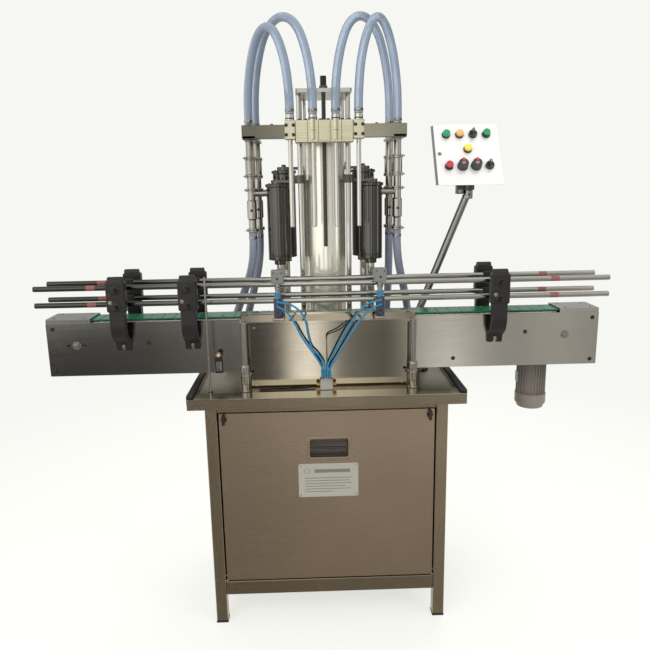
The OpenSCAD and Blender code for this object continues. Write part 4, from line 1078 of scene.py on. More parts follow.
@dataclass
class Conveyor:
    """Side plates, slat belt, shafts, bearings and the gearmotor."""

    axis_z: float = 968.0
    drive_x: float = 768.0
    idler_x: float = -784.0
    centre_y: float = -112.0
    half_width: float = 55.0
    skin: float = 3.0
    slat_face: float = 80.6
    slats: int = 94
    motor: Flat = (718.0, -22.0)

    def side_plates(self) -> None:
        """Both folded side plates with their slots, lips, and screws on washers."""
        for name, out in (("front", -1), ("rear", 1)):
            node = f"conveyor_{name}_plate"
            z = (869.0, 1040.0)
            outer = self.centre_y + out * self.half_width
            inner = outer - out * self.skin
            s = Sculptor(f"side_plate_{name}", CONVEYOR, DARK_STEEL)
            slots = [
                round_rect(
                    (self.idler_x + dx, self.idler_x + dx + 12), (self.axis_z - 3, self.axis_z + 3), 2.9
                )
                for dx in (-30, 18)
            ]
            bores = [disc(x, self.axis_z, 5.6, 24) for x in (self.idler_x, self.drive_x)]
            rim = round_rect((-875, 875), z, 2)
            s.plate([rim, *slots, *bores], facing, min(outer, inner), max(outer, inner), 0.5)
            lip = sorted((inner, inner - out * 12))
            s.box((-874, lip[0], z[0]), (874, lip[1], z[0] + self.skin), 0.8)
            s.paint(1)
            places = [
                (855, 1022), (855, 885), (-558, 972), (410, 898), (640, 980), (-200, 900), (-855, 1022),
                (-855, 885),
            ]
            for x, h in places:
                s.lathe((x, outer, h), (0, out, 0), [(0, 0.6), (6.4, 0.6), (6.8, 0)], 24)
                s.socket_screw((x, outer + out * 0.6, h), (0, out, 0), 4.4, 3.2)
            s.done("machine", [node])

    def bed(self) -> None:
        """Spacer bars and the two wear strips under the slats."""
        lo, hi = extent("conveyor_bed")
        s = Sculptor("belt_bed", ACETAL, TURNED)
        for x in range(-600, 601, 300):
            s.paint(1).rod((x, lo.y, 1020), (x, hi.y, 1020), 9, 28, 0.6)
        for y in (-146, -88):
            s.paint(0).box((self.idler_x + 20, y, 1028), (self.drive_x - 20, y + 10, 1039.7), 2.0, 3)
        s.done("machine", ["conveyor_bed"])

    def covers(self) -> None:
        """Folded end covers over both sprockets."""
        s = Sculptor("end_cover_pair", CONVEYOR, DARK_STEEL)
        y = (-163.8, -60.2)
        for a, b, end in ((-875.0, -736.0, -875.0), (750.0, 875.0, 873.0)):
            s.paint(0).box((a, y[0], 1051), (b, y[1], 1053), 0.9)
            for w in (y[0], y[1] - 2):
                s.box((a, w, 1010), (b, w + 2, 1052.4), 0.6)
            s.box((end, y[0], 873), (end + 2, y[1], 1052.4), 0.6)
            s.paint(1)
            for px in (a + 22, b - 22):
                for py in (y[0] + 14, y[1] - 14):
                    s.lathe((px, py, 1053), UP, [(0, 0.9), (2.6, 0.8), (3.6, 0)], 18)
        s.done("machine", ["end_covers"])

    def _along_loop(self, run: float) -> Flat:
        """Place on the belt loop.

        Args:
            run: distance along the loop from the idler end of the upper run.

        Returns:
            The x of the sprocket or of the place on the run, and the angle turned.
        """
        straight = self.drive_x - self.idler_x
        arc = math.pi * (self.slat_face - 2.4)
        run %= 2 * (straight + arc)
        if run < straight:
            return self.idler_x + run, 0.0
        if run < straight + arc:
            return self.drive_x, math.pi * (run - straight) / arc
        if run < 2 * straight + arc:
            return self.drive_x - (run - straight - arc), math.pi
        return self.idler_x, math.pi + math.pi * (run - 2 * straight - arc) / arc

    def _turned(self, x: float, angle: float) -> Matrix:
        """Frame on the sprockets' level at x, turned about the shafts' direction."""
        return Matrix.Translation((x, self.centre_y, self.axis_z)) @ Matrix.Rotation(angle, 4, "Y")

    def belt(self) -> None:
        """Flat-top slats with their hinge knuckles, all the way round the loop."""
        s = Sculptor("slat_chain", BELT, TURNED)
        straight = self.drive_x - self.idler_x
        loop = 2 * straight + 2 * math.pi * (self.slat_face - 2.4)
        pitch = loop / self.slats
        half = (pitch - 1.5) / 2
        for k in range(self.slats):
            x, turned = self._along_loop((k + 0.5) * pitch)
            place = self._turned(x, turned)
            top = self.slat_face
            s.paint(0).box((-half, -42, top - 4.6), (half, 42, top), 0.9, 1, place)
            for y in (-15.0, 4.0):
                s.box((-6, y, top - 8.4), (half - 2, y + 11, top - 4.4), 0.8, 1, place)
            x, turned = self._along_loop(k * pitch)
            place = self._turned(x, turned)
            a, b = place @ Vector((0, -20, 75.6)), place @ Vector((0, 20, 75.6))
            s.paint(1).rod(a, b, 3.2, 10, 0)
        s.done("machine", ["slat_belt"], 0.4)

    def shafts(self) -> None:
        """Both sprocket shafts with their bolts."""
        for name, x, bolts in (("drive", self.drive_x, (-1,)), ("idler", self.idler_x, (-1, 1))):
            s = Sculptor(f"{name}_sprocket", DARK_STEEL, NYLON, TURNED)
            y = (self.centre_y - 51.7, self.centre_y + 51.7)
            s.rod((x, y[0], self.axis_z), (x, y[1], self.axis_z), 12.5, 40, 0.8)
            low, high = self.centre_y - 15, self.centre_y + 15
            s.paint(1).rod((x, low, self.axis_z), (x, high, self.axis_z), 66, 64, 1.2)
            for k in range(12):
                s.box((64, -6, -5), (71, 6, 5), 1.4, 2, self._turned(x, 2 * math.pi * k / 12))
            s.paint(2)
            for face, n in ((low, -1), (high, 1)):
                s.lathe((x, face, self.axis_z), (0, n, 0), [(12.6, 5), (20, 5), (21, 4), (21, 0)], 40)
            for out in bolts:
                edge = self.centre_y + out * self.half_width
                s.rod((x, edge - out * 4, self.axis_z), (x, edge + out * 0.4, self.axis_z), 5, 24, 0)
                s.bolt((x, edge + out * 0.4, self.axis_z), (0, out, 0), 15.5, 5.2, 1.0)
            if name == "drive":
                s.rod((x, self.centre_y + 51, self.axis_z), (x, self.centre_y + 115, self.axis_z), 5, 24, 0.4)
            s.done(f"{name}_shaft", [f"{name}_shaft"])

    def bearings(self) -> None:
        """Flanged bearing blocks on the inner faces of the plates."""
        s = Sculptor("bearing_blocks", NYLON, TURNED)
        for x in (self.idler_x, self.drive_x):
            for y, n in ((-164.0, 1), (-60.0, -1)):
                ring = [(12.6, 0), (26, 0), (26, 7), (24.6, 9), (18, 12), (12.6, 12), (12.6, 0)]
                s.paint(0).lathe((x, y, self.axis_z), (0, n, 0), ring, 48)
                s.paint(1).lathe(
                    (x, y, self.axis_z), (0, n, 0), [(12.6, 12.1), (12.6, 12.3), (17, 12.3), (17, 12.1)], 40
                )
        s.done("machine", ["shaft_bearings"])

    def gearbox(self) -> None:
        """Cast worm case with ribs, cover ring, plugs and neck."""
        lo, hi = extent("gearbox")
        mx, my = self.motor
        s = Sculptor("worm_case", GEARBOX, DARK_STEEL, BRASS)
        s.box((mx - 42, lo.y, 926), (self.drive_x + 44, hi.y - 6, 1010), 7, 4)
        for k in range(5):
            z = 938 + k * 15
            s.box((mx - 42.0, lo.y + 12, z), (self.drive_x + 44.0, hi.y - 8, z + 4), 1.6, 2)
        profile = [(5.1, 0), (5.1, 6), (16, 6), (17, 4.6), (27, 4.6), (28, 6), (36, 6), (38, 4), (38, -6)]
        s.lathe((self.drive_x, hi.y - 6, self.axis_z), BACK, profile, 56)
        s.paint(1)
        for px, pz in on_circle(6, 32, (self.drive_x, self.axis_z), 30):
            s.socket_screw((px, hi.y - 2.6, pz), BACK, 2.8, 2.4)
        s.paint(0).lathe(
            (mx, my, 862), UP,
            [(0, 0), (29, 0), (29, 8), (25, 14), (25, 54), (29, 62), (29, 65), (0, 65)], 48,
        )
        for x, z in ((mx - 20, 1006), (mx + 30, 940)):
            s.paint(2).hexagon((x, hi.y - 7, z - 14), (x, hi.y - 1, z - 14), 13, 0.8)
        s.done("machine", ["gearbox"])

    def drive_motor(self) -> None:
        """Finned motor with its flange, fan cowl, terminal box and blank rating plate."""
        lo, hi = extent("conveyor_motor")
        mx, my = self.motor
        s = Sculptor("gearmotor", MOTOR, DARK_STEEL, PLATE, CABLE)
        height = hi.z - lo.z
        s.lathe((mx, my, lo.z), UP, [(0, 50), (43.6, 50), (43.6, height - 12), (0, height - 12)], 60)
        cowl = [
            (0, 0), (30, 0), (43, 1.6), (45, 4), (45, 10), (50.5, 15), (52, 19), (52, 50), (50.6, 52),
            (43, 52), (0, 52),
        ]
        s.lathe((mx, my, lo.z), UP, cowl, 60)
        s.lathe((mx, my, hi.z - 14), UP, [(0, 0), (47, 0), (50, 3), (50, 12.6), (48.6, 14), (0, 14)], 60)
        for k in range(28):
            a = 2 * math.pi * k / 28
            around = Matrix.Translation((mx, my, 0)) @ Matrix.Rotation(a, 4, "Z")
            if not 60 < math.degrees(a) < 120:
                s.box((42.5, -1.1, 733), (49.6, 1.1, 847), 0.7, 1, around)
        s.paint(1)
        for k in range(5):
            for px, py in on_circle(6 + 5 * k, 6.5 + 6.5 * k, (mx, my)):
                s.rod((px, py, lo.z + 0.05), (px, py, lo.z + (1.7 if k == 4 else 0.8)), 1.9, 8, 0)
        for px, py in on_circle(4, 44, (mx, my), 45):
            s.socket_screw((px, py, hi.z - 14.2), DOWN, 3.2, 4)
        s.paint(0).box((mx - 28, my + 40, 752), (mx + 28, my + 58, 830), 4, 3)
        s.box((mx - 30, my + 57, 750), (mx + 30, my + 62, 832), 2, 3)
        s.paint(1)
        for dx in (-24, 24):
            for z in (756, 826):
                s.socket_screw((mx + dx, my + 61.4, z), BACK, 2.4, 0.6)
        s.paint(2).box((mx - 51.5, my - 12, 770), (mx - 49.0, my + 12, 806), 0.6)
        s.paint(3).lathe(
            (mx + 12, my + 49, 751.5), DOWN, [(0, 14), (3.2, 14), (5, 11), (7.4, 9), (7.4, 0)], 20
        )
        s.done("machine", ["conveyor_motor"])

    def build(self) -> None:
        """Makes every piece of the conveyor."""
        for make in (
            self.side_plates, self.bed, self.covers, self.belt, self.shafts, self.bearings, self.gearbox,
            self.drive_motor,
        ):
            make()
        LOG.info("conveyor done")


# ------------------------------------------------------------------ guide rails


@dataclass
class GuideRails:
    """Front and rear rod pairs, their clamps and the swan-neck brackets."""

    reach: float = 900.0
    rod: float = 8.5
    heights: Flat = (1098.0, 1150.0)
    brackets: tuple[float, ...] = (-634.0, -418.0, 540.0)
    plates: Flat = (-167.0, -57.0)
    foot_z: float = 951.0

    def pair(self, name: str, y: float, out: int) -> None:
        """One pair of rods with clamps, adjusting arms and a red mark near each end."""
        s = Sculptor(f"guide_pair_{name}", ROD_X, TAPE, TURNED, NYLON)
        for z in self.heights:
            s.paint(0).rod((-self.reach, y, z), (self.reach, y, z), self.rod, 40, 1.2)
            for x in (-737.0, 712.0):
                s.paint(1).rod((x, y, z), (x + 27, y, z), self.rod + 0.12, 40, 0.05)
            for x in self.brackets:
                s.paint(3).box((x - 13, y - 12, z - 13), (x + 13, y + 12, z + 13), 3.0, 3)
                s.paint(2).socket_screw((x, y, z + 12.6), UP, 3.4, 0.4)
                a, b = y + out * 6, y + out * 80
                s.paint(3).rod((x, a, z), (x, b, z), 6, 28, 0.8)
        s.done(f"rail_{name}", [f"rails_{name}"])

    def _neck(self) -> list[Flat]:
        """Outline of a bracket's neck as (distance out, height)."""
        swing = [math.radians(a) for a in range(-50, 1, 5)]
        outer = [(58 - 40 * (1 - math.cos(a)), 1042 + 62 * math.sin(a)) for a in swing]
        inner = [(34 - 40 * (1 - math.cos(a)), 1042 + 62 * math.sin(a)) for a in reversed(swing)]
        head = [(57, 1072), (57, 1168), (53.6, 1180), (46, 1188.8), (32, 1188.8), (26.6, 1180), (26.6, 1078)]
        return [(0, self.foot_z), (10, self.foot_z), (16, 975), *outer, *head, *inner, (0, 985)]

    def necks(self) -> None:
        """Six moulded brackets with clamp heads, foot bolts and gussets."""
        s = Sculptor("swan_necks", NYLON, TURNED, DARK_STEEL)
        for x in self.brackets:
            for plate, out in zip(self.plates, (-1, 1)):
                base = plate + out * 0.2
                outline = [(base + out * d, z) for d, z in self._neck()]
                for low, high in ((x - 23, x - 5), (x + 5, x + 23)):
                    s.paint(0).prism(outline, sideways, low, high, 1.6)
                web = [(base + out * d, z) for d, z in self._neck() if z > 974]
                s.prism(web, sideways, x - 6, x + 6, 0.3)
                y = sorted((base + out * 26, base + out * 58))
                s.box((x - 29, y[0], 1082), (x + 29, y[1], 1176), 5, 4)
                for z in self.heights:
                    s.lathe(
                        (x, base + out * 58, z), (0, out, 0),
                        [(6.2, 0), (6.2, 2.2), (12, 2.2), (14, 1), (14, 0)], 32,
                    )
                s.paint(2).bolt(
                    (x + 16 * out, base + out * 58, self.heights[1] - 16), (0, out, 0), 7.5, 2.4, 0.6
                )
                s.paint(1).bolt(
                    (x + 16 * out, base + out * 58, self.heights[0] + 14), (0, out, 0), 7.5, 3.2, 0.6
                )
                s.bolt((x, base + out * 9.2, 963), (0, out, 0), 9, 3.2, 1.2)
                s.box((x - 17, y[0] + 6, 1174), (x - 3, y[1] - 6, 1180), 1.5, 2)
                s.paint(2).box((x + 4, y[0] + 8, 1174), (x + 18, y[1] - 8, 1179), 1.2, 2)
        s.done("machine", ["rail_brackets"])

    def build(self) -> None:
        """Makes both pairs and the brackets."""
        self.pair("front", self.plates[0], -1)
        self.pair("rear", self.plates[1], 1)
        self.necks()
        LOG.info("guide rails done")


# ------------------------------------------------------------------ filling station


@dataclass
class Station:
    """Cover box on its posts, bottle sensor, air block and stop cylinders."""

    head_x: float = 10.0
    floor: float = 817.0
    top: float = 1040.0
    front: float = -205.0
    post_dx: float = 262.0
    post_y: float = -222.0
    stops: Flat = (-144.0, 170.0)
    pin_z: float = 1071.0

    def posts(self) -> None:
        """Round front posts in split sockets with thumb screws, and flat rear posts."""
        s = Sculptor("station_posts", TURNED, DARK_STEEL, FRAME)
        for side in (-1, 1):
            x, y, z = self.head_x + side * self.post_dx, self.post_y, self.floor
            s.paint(0).rod((x, y, z), (x, y, self.top), 9, 36, 0.8)
            collar = [
                (0, 0), (15, 0), (15, 8), (13.2, 10), (13.2, 30), (15, 32), (15, 58), (13.6, 60),
                (13.6, 84), (12.4, 90), (0, 90),
            ]
            s.lathe((x, y, z), UP, collar, 40)
            inner = x - side * 10
            outer = x - side * 22
            s.rod((inner, y, z + 60), (outer, y, z + 60), 3, 18, 0.3)
            s.paint(1).lathe(
                (outer + side * 4, y, z + 60), (-side, 0, 0), [(0, 0), (4, 0), (4, 7), (3, 8), (0, 8)], 24
            )
            s.paint(2).box((x - 9, -57, z), (x + 9, -43, self.top - 20), 1.2, 2)
            s.paint(1).bolt((x, -43, self.top - 40), BACK, 9, 4, 1)
        s.done("machine", ["support_posts"])

    def cover(self) -> None:
        """Folded cover with its flange, upstand, post tabs and screws."""
        lo, hi = -236.0, 256.0
        y, z = self.front, (self.floor, self.top)
        s = Sculptor("station_cover", STATION, TURNED)
        s.plate([round_rect((lo, hi), z, 1.5, 2)], facing, y, y + 2, 0.6)
        for x in (lo, hi - 2):
            s.box((x, y + 1, z[0]), (x + 2, -167.4, z[1]), 0.5)
        flange = [(lo - 30, y - 8), (hi + 30, y - 8), (hi + 30, -159), (lo - 30, -159)]
        s.plate([flange], upward, z[1], z[1] + 2, 0.5)
        s.box((lo - 30, y - 8, z[1] - 8), (hi + 30, y - 6, z[1] + 1.6), 0.6)
        s.box((lo - 30, -161, z[1] + 1), (hi + 30, -159, z[1] + 18), 0.6)
        for side in (-1, 1):
            x = self.head_x + side * self.post_dx
            s.box((x - 11, self.post_y - 10, z[1]), (x + 11, y, z[1] + 2), 0.8)
            s.paint(1).lathe((x, self.post_y, z[1] + 2), UP, [(0, 2.4), (4, 2.4), (5, 1.4), (5, 0)], 24)
            s.paint(0)
        s.paint(1)
        for x in (lo + 14, hi - 14):
            for h in (z[0] + 16, z[1] - 20):
                s.lathe((x, y, h), FRONT, [(0, 1.2), (3.2, 1.0), (4.2, 0)], 20)
        s.done("machine", ["station_box"])

    def sensor(self) -> None:
        """Thin sensor post in its collar, and the photocell on the side plate."""
        s = Sculptor("bottle_sensor", TURNED, GLOSS_BLACK, AMBER_LENS)
        x, y = -363.0, -226.0
        s.rod((x, y, self.floor), (x, y, 1185), 3, 24, 0.8)
        s.lathe(
            (x, y, self.floor), UP,
            [(0, 0), (10, 0), (10, 3), (7.5, 4.5), (7.5, 9), (6, 10), (0, 10)], 32,
        )
        s.paint(1).box((-350, -195, 874), (-324, -167, 930), 3.5, 3)
        s.paint(0).lathe(
            (-337, -194, 934), FRONT,
            [(0, -3), (9, -3), (9, 2.6), (8, 3.8), (5.4, 3.8), (5.4, 2.6), (0, 2.6)], 36,
        )
        s.paint(2).lathe((-337, -196.4, 934), FRONT, [(5.4, 0), (4, 0.9), (0, 1.2)], 28)
        s.paint(0).box((-346, -197, 882), (-328, -194.6, 912), 1.0, 2)
        for z in (887, 907):
            s.paint(1).socket_screw((-337, -197, z), FRONT, 2.4, 0.8)
        s.done("machine", ["sensor_post"])

    def air_block(self) -> None:
        """Air manifold with brass side ports, push-in collars and a probe rod."""
        s = Sculptor("air_block", ALLOY, BRASS, AIR_BLUE, TURNED)
        y, z = -224.0, self.floor
        s.box((-20, y - 11, z), (20, y + 11, z + 35), 1.6, 3)
        s.box((-16, y - 9, z + 35), (16, y + 9, z + 40), 1.2, 2)
        s.lathe((0, y, z + 40), UP, [(0, 2), (5, 2), (6, 1), (6, 0)], 24)
        for side in (-1, 1):
            fitting = [(0, 12), (4, 12), (4, 9), (6.4, 8.4), (6.4, 3), (5, 2.4), (5, 0)]
            s.paint(1).lathe((side * 20, y, z + 22), (side, 0, 0), fitting, 32)
            s.hexagon((side * 21.5, y, z + 22), (side * 27, y, z + 22), 11.4, 0.6)
        for x in (-12, -4, 4, 12):
            s.paint(3).rod((x, y, z + 35), (x, y, z + 46), 3.7, 24, 0.4)
            s.paint(2).lathe(
                (x, y, z + 46), UP, [(0, 0), (3.8, 0), (3.8, 9), (3.3, 11), (3.0, 12), (0, 12)], 28
            )
        s.paint(3).rod((3, -215, z + 34), (3, -215, 984), 2, 18, 0.4)
        for dx in (-15, 15):
            s.socket_screw((dx, y - 11, z + 8), FRONT, 2.4, 0.6)
        s.done("machine", ["air_manifold"])

    def stopper(self, name: str, x: float) -> None:
        """Stop cylinder: foot, crossed barrels, air fittings, stem and switch block."""
        s = Sculptor(f"stop_cylinder_{name}", STOPPER, TURNED, AIR_BLUE, SWITCH_GREY, GLOSS_BLACK)
        y, z = (-224.0, -180.0), self.top + 2
        stem = -206.0
        s.paint(1).box((x - 17, y[0] + 8, z), (x + 17, y[1], z + 9), 1.6, 2)
        for dx in (-12, 12):
            s.socket_screw((x + dx, y[1] - 6, z + 9), UP, 3, 2.6)
        body = [
            (0, 0), (12, 0), (14, 2), (14, 18), (13, 19), (13, 22), (14, 23), (14, 56), (12.6, 59.6),
            (0, 60),
        ]
        s.paint(0).lathe((x, stem, 1053), UP, body, 48)
        ring = [
            (5.05, 0), (5.05, 44), (10.8, 44), (12, 42.6), (12, 34), (11.2, 33), (11.2, 28), (12, 27),
            (12, 1.4), (10.6, 0), (5.05, 0),
        ]
        s.lathe((x, y[1], self.pin_z), FRONT, ring, 44)
        s.paint(4).lathe((x, y[0] + 0.1, self.pin_z), BACK, [(0, 0), (5, 0), (5, 1.2), (0, 1.2)], 28)
        for port in (1090.0, 1104.0):
            s.paint(1).hexagon((x, stem - 13, port), (x, stem - 16.4, port), 8, 0.4)
            s.paint(2).lathe(
                (x, stem - 16, port), FRONT,
                [(0, 0), (4.5, 0), (4.5, 7), (3.6, 8.4), (3.1, 10), (0, 10)], 28,
            )
        s.paint(1).rod((x, stem, 1112), (x, stem, 1159), 8, 32, 0.6)
        s.paint(2).lathe((x, stem, 1116), UP, [(8, 0), (10.5, 1), (10.5, 13), (8, 14)], 36)
        s.paint(1).lathe((x, stem, 1140), UP, [(8, 0), (9.6, 0.8), (9.6, 6), (8, 7)], 36)
        s.paint(3).box((x - 19, stem - 15, 1158), (x + 19, stem + 15, 1200), 3.2, 3)
        s.box((x - 15.5, stem - 15.6, 1163), (x + 15.5, stem - 14, 1186), 0.7, 2)
        s.paint(4)
        for dx in (-12, 12):
            s.socket_screw((x + dx, stem - 15.2, 1192), FRONT, 2, 0.6)
        s.lathe((x, stem - 15.5, 1174), FRONT, [(0, 0.6), (3.4, 0.6), (4, 0)], 24)
        s.done("machine", [f"stopper_{name}"])
        p = Sculptor(f"stop_pin_{name}", POLISHED, NYLON)
        p.rod((x, -212, self.pin_z), (x, -158, self.pin_z), 5, 28, 0.6)
        p.paint(1).lathe((x, -163, self.pin_z), BACK, [(4.9, 0), (7, 0), (7, 4), (5.4, 5.5), (0, 5.5)], 32)
        p.done(f"pin_{name}", [f"stopper_{name}_pin"])

    def build(self) -> None:
        """Makes every piece of the station."""
        for make in (self.posts, self.cover, self.sensor, self.air_block):
            make()
        for name, x in zip(("left", "right"), self.stops):
            self.stopper(name, x)
        LOG.info("station done")


# ------------------------------------------------------------------ filling head


@dataclass
class FillingHead:
    """Guide shafts, plates, column, lifting carriage, nozzles and spindle."""

    x: float = 10.0
    shafts: tuple[Flat, ...] = ((77.0, -20.0), (64.0, 100.0))
    nozzle_y: float = -112.0
    pitch: float = 70.0
    spindle_y: float = -60.0
    floor: float = 829.0
    top: float = 1728.0

    def _shaft_places(self) -> list[Flat]:
        """The four shafts' centres."""
        return [(self.x + side * dx, y) for dx, y in self.shafts for side in (-1, 1)]

    def uprights(self) -> None:
        """Guide shafts, with chamfered ends."""
        s = Sculptor("lift_shafts", POLISHED)
        for x, y in self._shaft_places():
            s.rod((x, y, self.floor), (x, y, self.top), 8.5, 44, 1.0)
        s.done("machine", ["guide_shafts"])

    def crown(self) -> None:
        """Top plate with its spindle hole and cap nuts."""
        s = Sculptor("crown_plate", PLATE_STEEL, DARK_STEEL, TURNED)
        edge = round_rect((self.x - 87, self.x + 87), (-82, 118), 6)
        s.plate([edge, disc(self.x, self.spindle_y, 7.1, 32)], upward, self.top, self.top + 12, 1.0)
        for x, y in self._shaft_places():
            s.paint(2).rod((x, y, self.top + 12), (x, y, self.top + 13.2), 7.5, 28, 0.3)
            s.paint(1).hexagon((x, y, self.top + 13.2), (x, y, self.top + 18), 12.6, 0.6)
            s.lathe((x, y, self.top + 17.6), UP, [(5.4, 0), (4.6, 2.2), (2.6, 3.2), (0, 3.4)], 28)
        s.done("machine", ["top_plate"])

    def base(self) -> None:
        """Base plate, inner tube and the split collars round the shafts."""
        s = Sculptor("column_foot", POLISHED, DARK_STEEL)
        s.plate([round_rect((self.x - 105, self.x + 105), (-50, 150), 8)], upward, 817, self.floor, 1.2)
        tube = [(60, 0), (63, 0), (63, 471), (60, 471), (60, 0)]
        s.lathe((self.x, 40, self.floor), UP, tube, 72)
        for x, y in self._shaft_places():
            ring = [(8.6, 0), (18, 0), (18, 26), (16, 28), (16, 38), (15, 40), (8.6, 40), (8.6, 0)]
            s.paint(0).lathe((x, y, self.floor), UP, ring, 40)
            side = 1 if x > self.x else -1
            s.paint(1).socket_screw((x + side * 17.6, y, self.floor + 14), (side, 0, 0), 3, 1.6)
        for dx in (-92, 92):
            for y in (-38, 138):
                s.paint(1).bolt((self.x + dx, y, self.floor), UP, 11, 6, 1.4)
        s.done("machine", ["column_base"])

    def column(self) -> None:
        """Bright column cover with rolled ends and a seam at the back."""
        s = Sculptor("bright_column", COLUMN, TURNED)
        outer, wall, low, high = 69.5, 2.5, 905.0, 1588.0
        ring = [
            (outer - wall, 0), (outer - 0.6, 0), (outer, 0.8), (outer, high - low - 0.8),
            (outer - 0.6, high - low), (outer - wall, high - low), (outer - wall, 0),
        ]
        s.lathe((self.x, 40, low), UP, ring, 120)
        s.paint(1).box(
            (self.x - 1.2, 40 + outer - 0.9, low + 3), (self.x + 1.2, 40 + outer + 0.3, high - 3), 0.3
        )
        s.done("carriage", ["column_cover"])

    def carriage(self) -> None:
        """Channel beam, head block, deck, side arms, nozzle clamps and screws."""
        s = Sculptor("lift_carriage", BEAM_STEEL, CARRIAGE, DARK_STEEL, TURNED)
        x, half = self.x, 251.0
        s.box((x - half, -130, 1590), (x + half, -124, 1630), 1.2, 2)
        for z in (1590.0, 1622.0):
            s.box((x - half, -129.6, z), (x + half, -94, z + 8), 1.4, 2)
        s.paint(1).box((x - 88, -130.4, 1576), (x + 88, -95, 1643), 3.0, 3)
        s.box((x - 15, -131.6, 1582), (x + 15, -130, 1637), 1.4, 2)
        for dx in (-51.5, -18.5, 18.5, 51.5):
            s.paint(2).box((x + dx - 0.7, -130.8, 1578), (x + dx + 0.7, -130.2, 1641), 0.1, 1)
        deck_holes = [disc(px, py, 8.56, 32) for px, py in self._shaft_places()]
        deck_holes.append(disc(x, self.spindle_y, 7.06, 28))
        s.plate([round_rect((x - 92, x + 92), (-95, 118), 4), *deck_holes], upward, 1588, 1604, 1.0)
        for px, py in self._shaft_places():
            ring = [(8.56, -1), (17, -1), (17, 16), (14.4, 18), (14.4, 25), (8.56, 25), (8.56, -1)]
            s.paint(3).lathe((px, py, 1604), UP, ring, 40)
            s.paint(2).socket_screw((px, py - 17, 1612), FRONT, 2.6, 1.0)
        s.paint(3).lathe(
            (x, self.spindle_y, 1603), UP,
            [(7.06, 0), (15, 0), (15, 18), (13, 20.8), (7.06, 20.8), (7.06, 0)], 36,
        )
        for side in (-1, 1):
            xs = sorted((x + side * 208, x + side * half))
            holes = [disc(x + side * dx, py, 14.2, 36) for dx, py in ((240, 5), (225, 100))]
            s.paint(0).plate([round_rect((xs[0], xs[1]), (-130, 118), 3), *holes], upward, 1590, 1598, 0.8)
            cx = x + side * 105
            s.paint(1).box((cx - 16, -132, 1586), (cx + 16, -95, 1642.6), 2.2, 3)
            s.paint(2).box((cx - 16.2, -131.4, 1611), (cx + 16.2, -96, 1612.2), 0.2, 1)
            for dx in (-11, 11):
                s.bolt((cx + dx, -132, 1600), FRONT, 6.4, 2, 0.4)
                s.bolt((cx + dx, -132, 1628), FRONT, 6.4, 2, 0.4)
        for dx in (-76, -56, -12, 12, 56, 76):
            s.paint(2).bolt((x + dx, -102, 1643), UP, 10.6, 4.6, 1.2)
        for dx in (-35, 35):
            s.paint(1).rod((x + dx, -117, 1584), (x + dx, -117, 1643), 15, 40, 1.6)
            s.paint(2).rod((x + dx, -117, 1612), (x + dx, -117, 1613.4), 15.1, 40, 0)
        s.paint(2)
        for dx in (-230, -160, 160, 230):
            s.bolt((x + dx, -112, 1630), UP, 8.6, 3, 1)
        s.done("carriage", ["nozzle_carriage"])

    def nozzles(self) -> None:
        """Four tubes with bevelled tips, a seat ring and a hose ferrule on top."""
        s = Sculptor("fill_nozzles", NOZZLE, DARK_STEEL)
        for k in (-1.5, -0.5, 0.5, 1.5):
            x, y = self.x + k * self.pitch, self.nozzle_y
            tube = [
                (5, 60), (5, 2), (5.6, 0), (6.4, 0), (7, 3), (7, 300), (7, 318), (13.4, 321), (13.5, 324),
                (13.5, 334), (12.2, 336), (12.2, 338.6), (10.4, 340), (0, 340),
            ]
            s.paint(0).lathe((x, y, 1322), UP, tube, 40)
            s.paint(1).rod((x, y, 1374), (x, y, 1378), 5.0, 24, 0)
            s.lathe((x, y, 1646.5), UP, [(13.4, 0), (13.62, 0.4), (13.62, 3.6), (13.4, 4)], 40)
        s.done("carriage", ["nozzles"])

    def spindle(self) -> None:
        """Threaded lifting spindle with its thrust collar and hexagon."""
        s = Sculptor("lift_screw", SPINDLE, DARK_STEEL)
        low, high, pitch = 1255.0, 1726.0, 4.0
        thread = [(0, 0), (5.4, 0)]
        for k in range(int((high - low) / pitch)):
            h = k * pitch
            thread += [(6.0, h + 0.6), (7.0, h + 1.6), (7.0, h + 2.6), (6.0, h + 3.6)]
        thread += [(6.9, high - low + 1), (6.9, 486), (0, 486)]
        s.lathe((self.x, self.spindle_y, low), UP, thread, 28)
        collar = [(0, 0), (11.8, 0), (13, 1.2), (13, 8), (11.6, 9.4), (0, 9.4)]
        s.lathe((self.x, self.spindle_y, 1740.4), UP, collar, 40)
        s.paint(1).hexagon((self.x, self.spindle_y, 1749.6), (self.x, self.spindle_y, 1778), 19, 1.2)
        s.done("spindle", ["lift_spindle"])

    def build(self) -> None:
        """Makes every piece of the head."""
        for make in (
            self.uprights, self.crown, self.base, self.column, self.carriage, self.nozzles, self.spindle
        ):
            make()
        LOG.info("head done")


# ------------------------------------------------------------------ metering


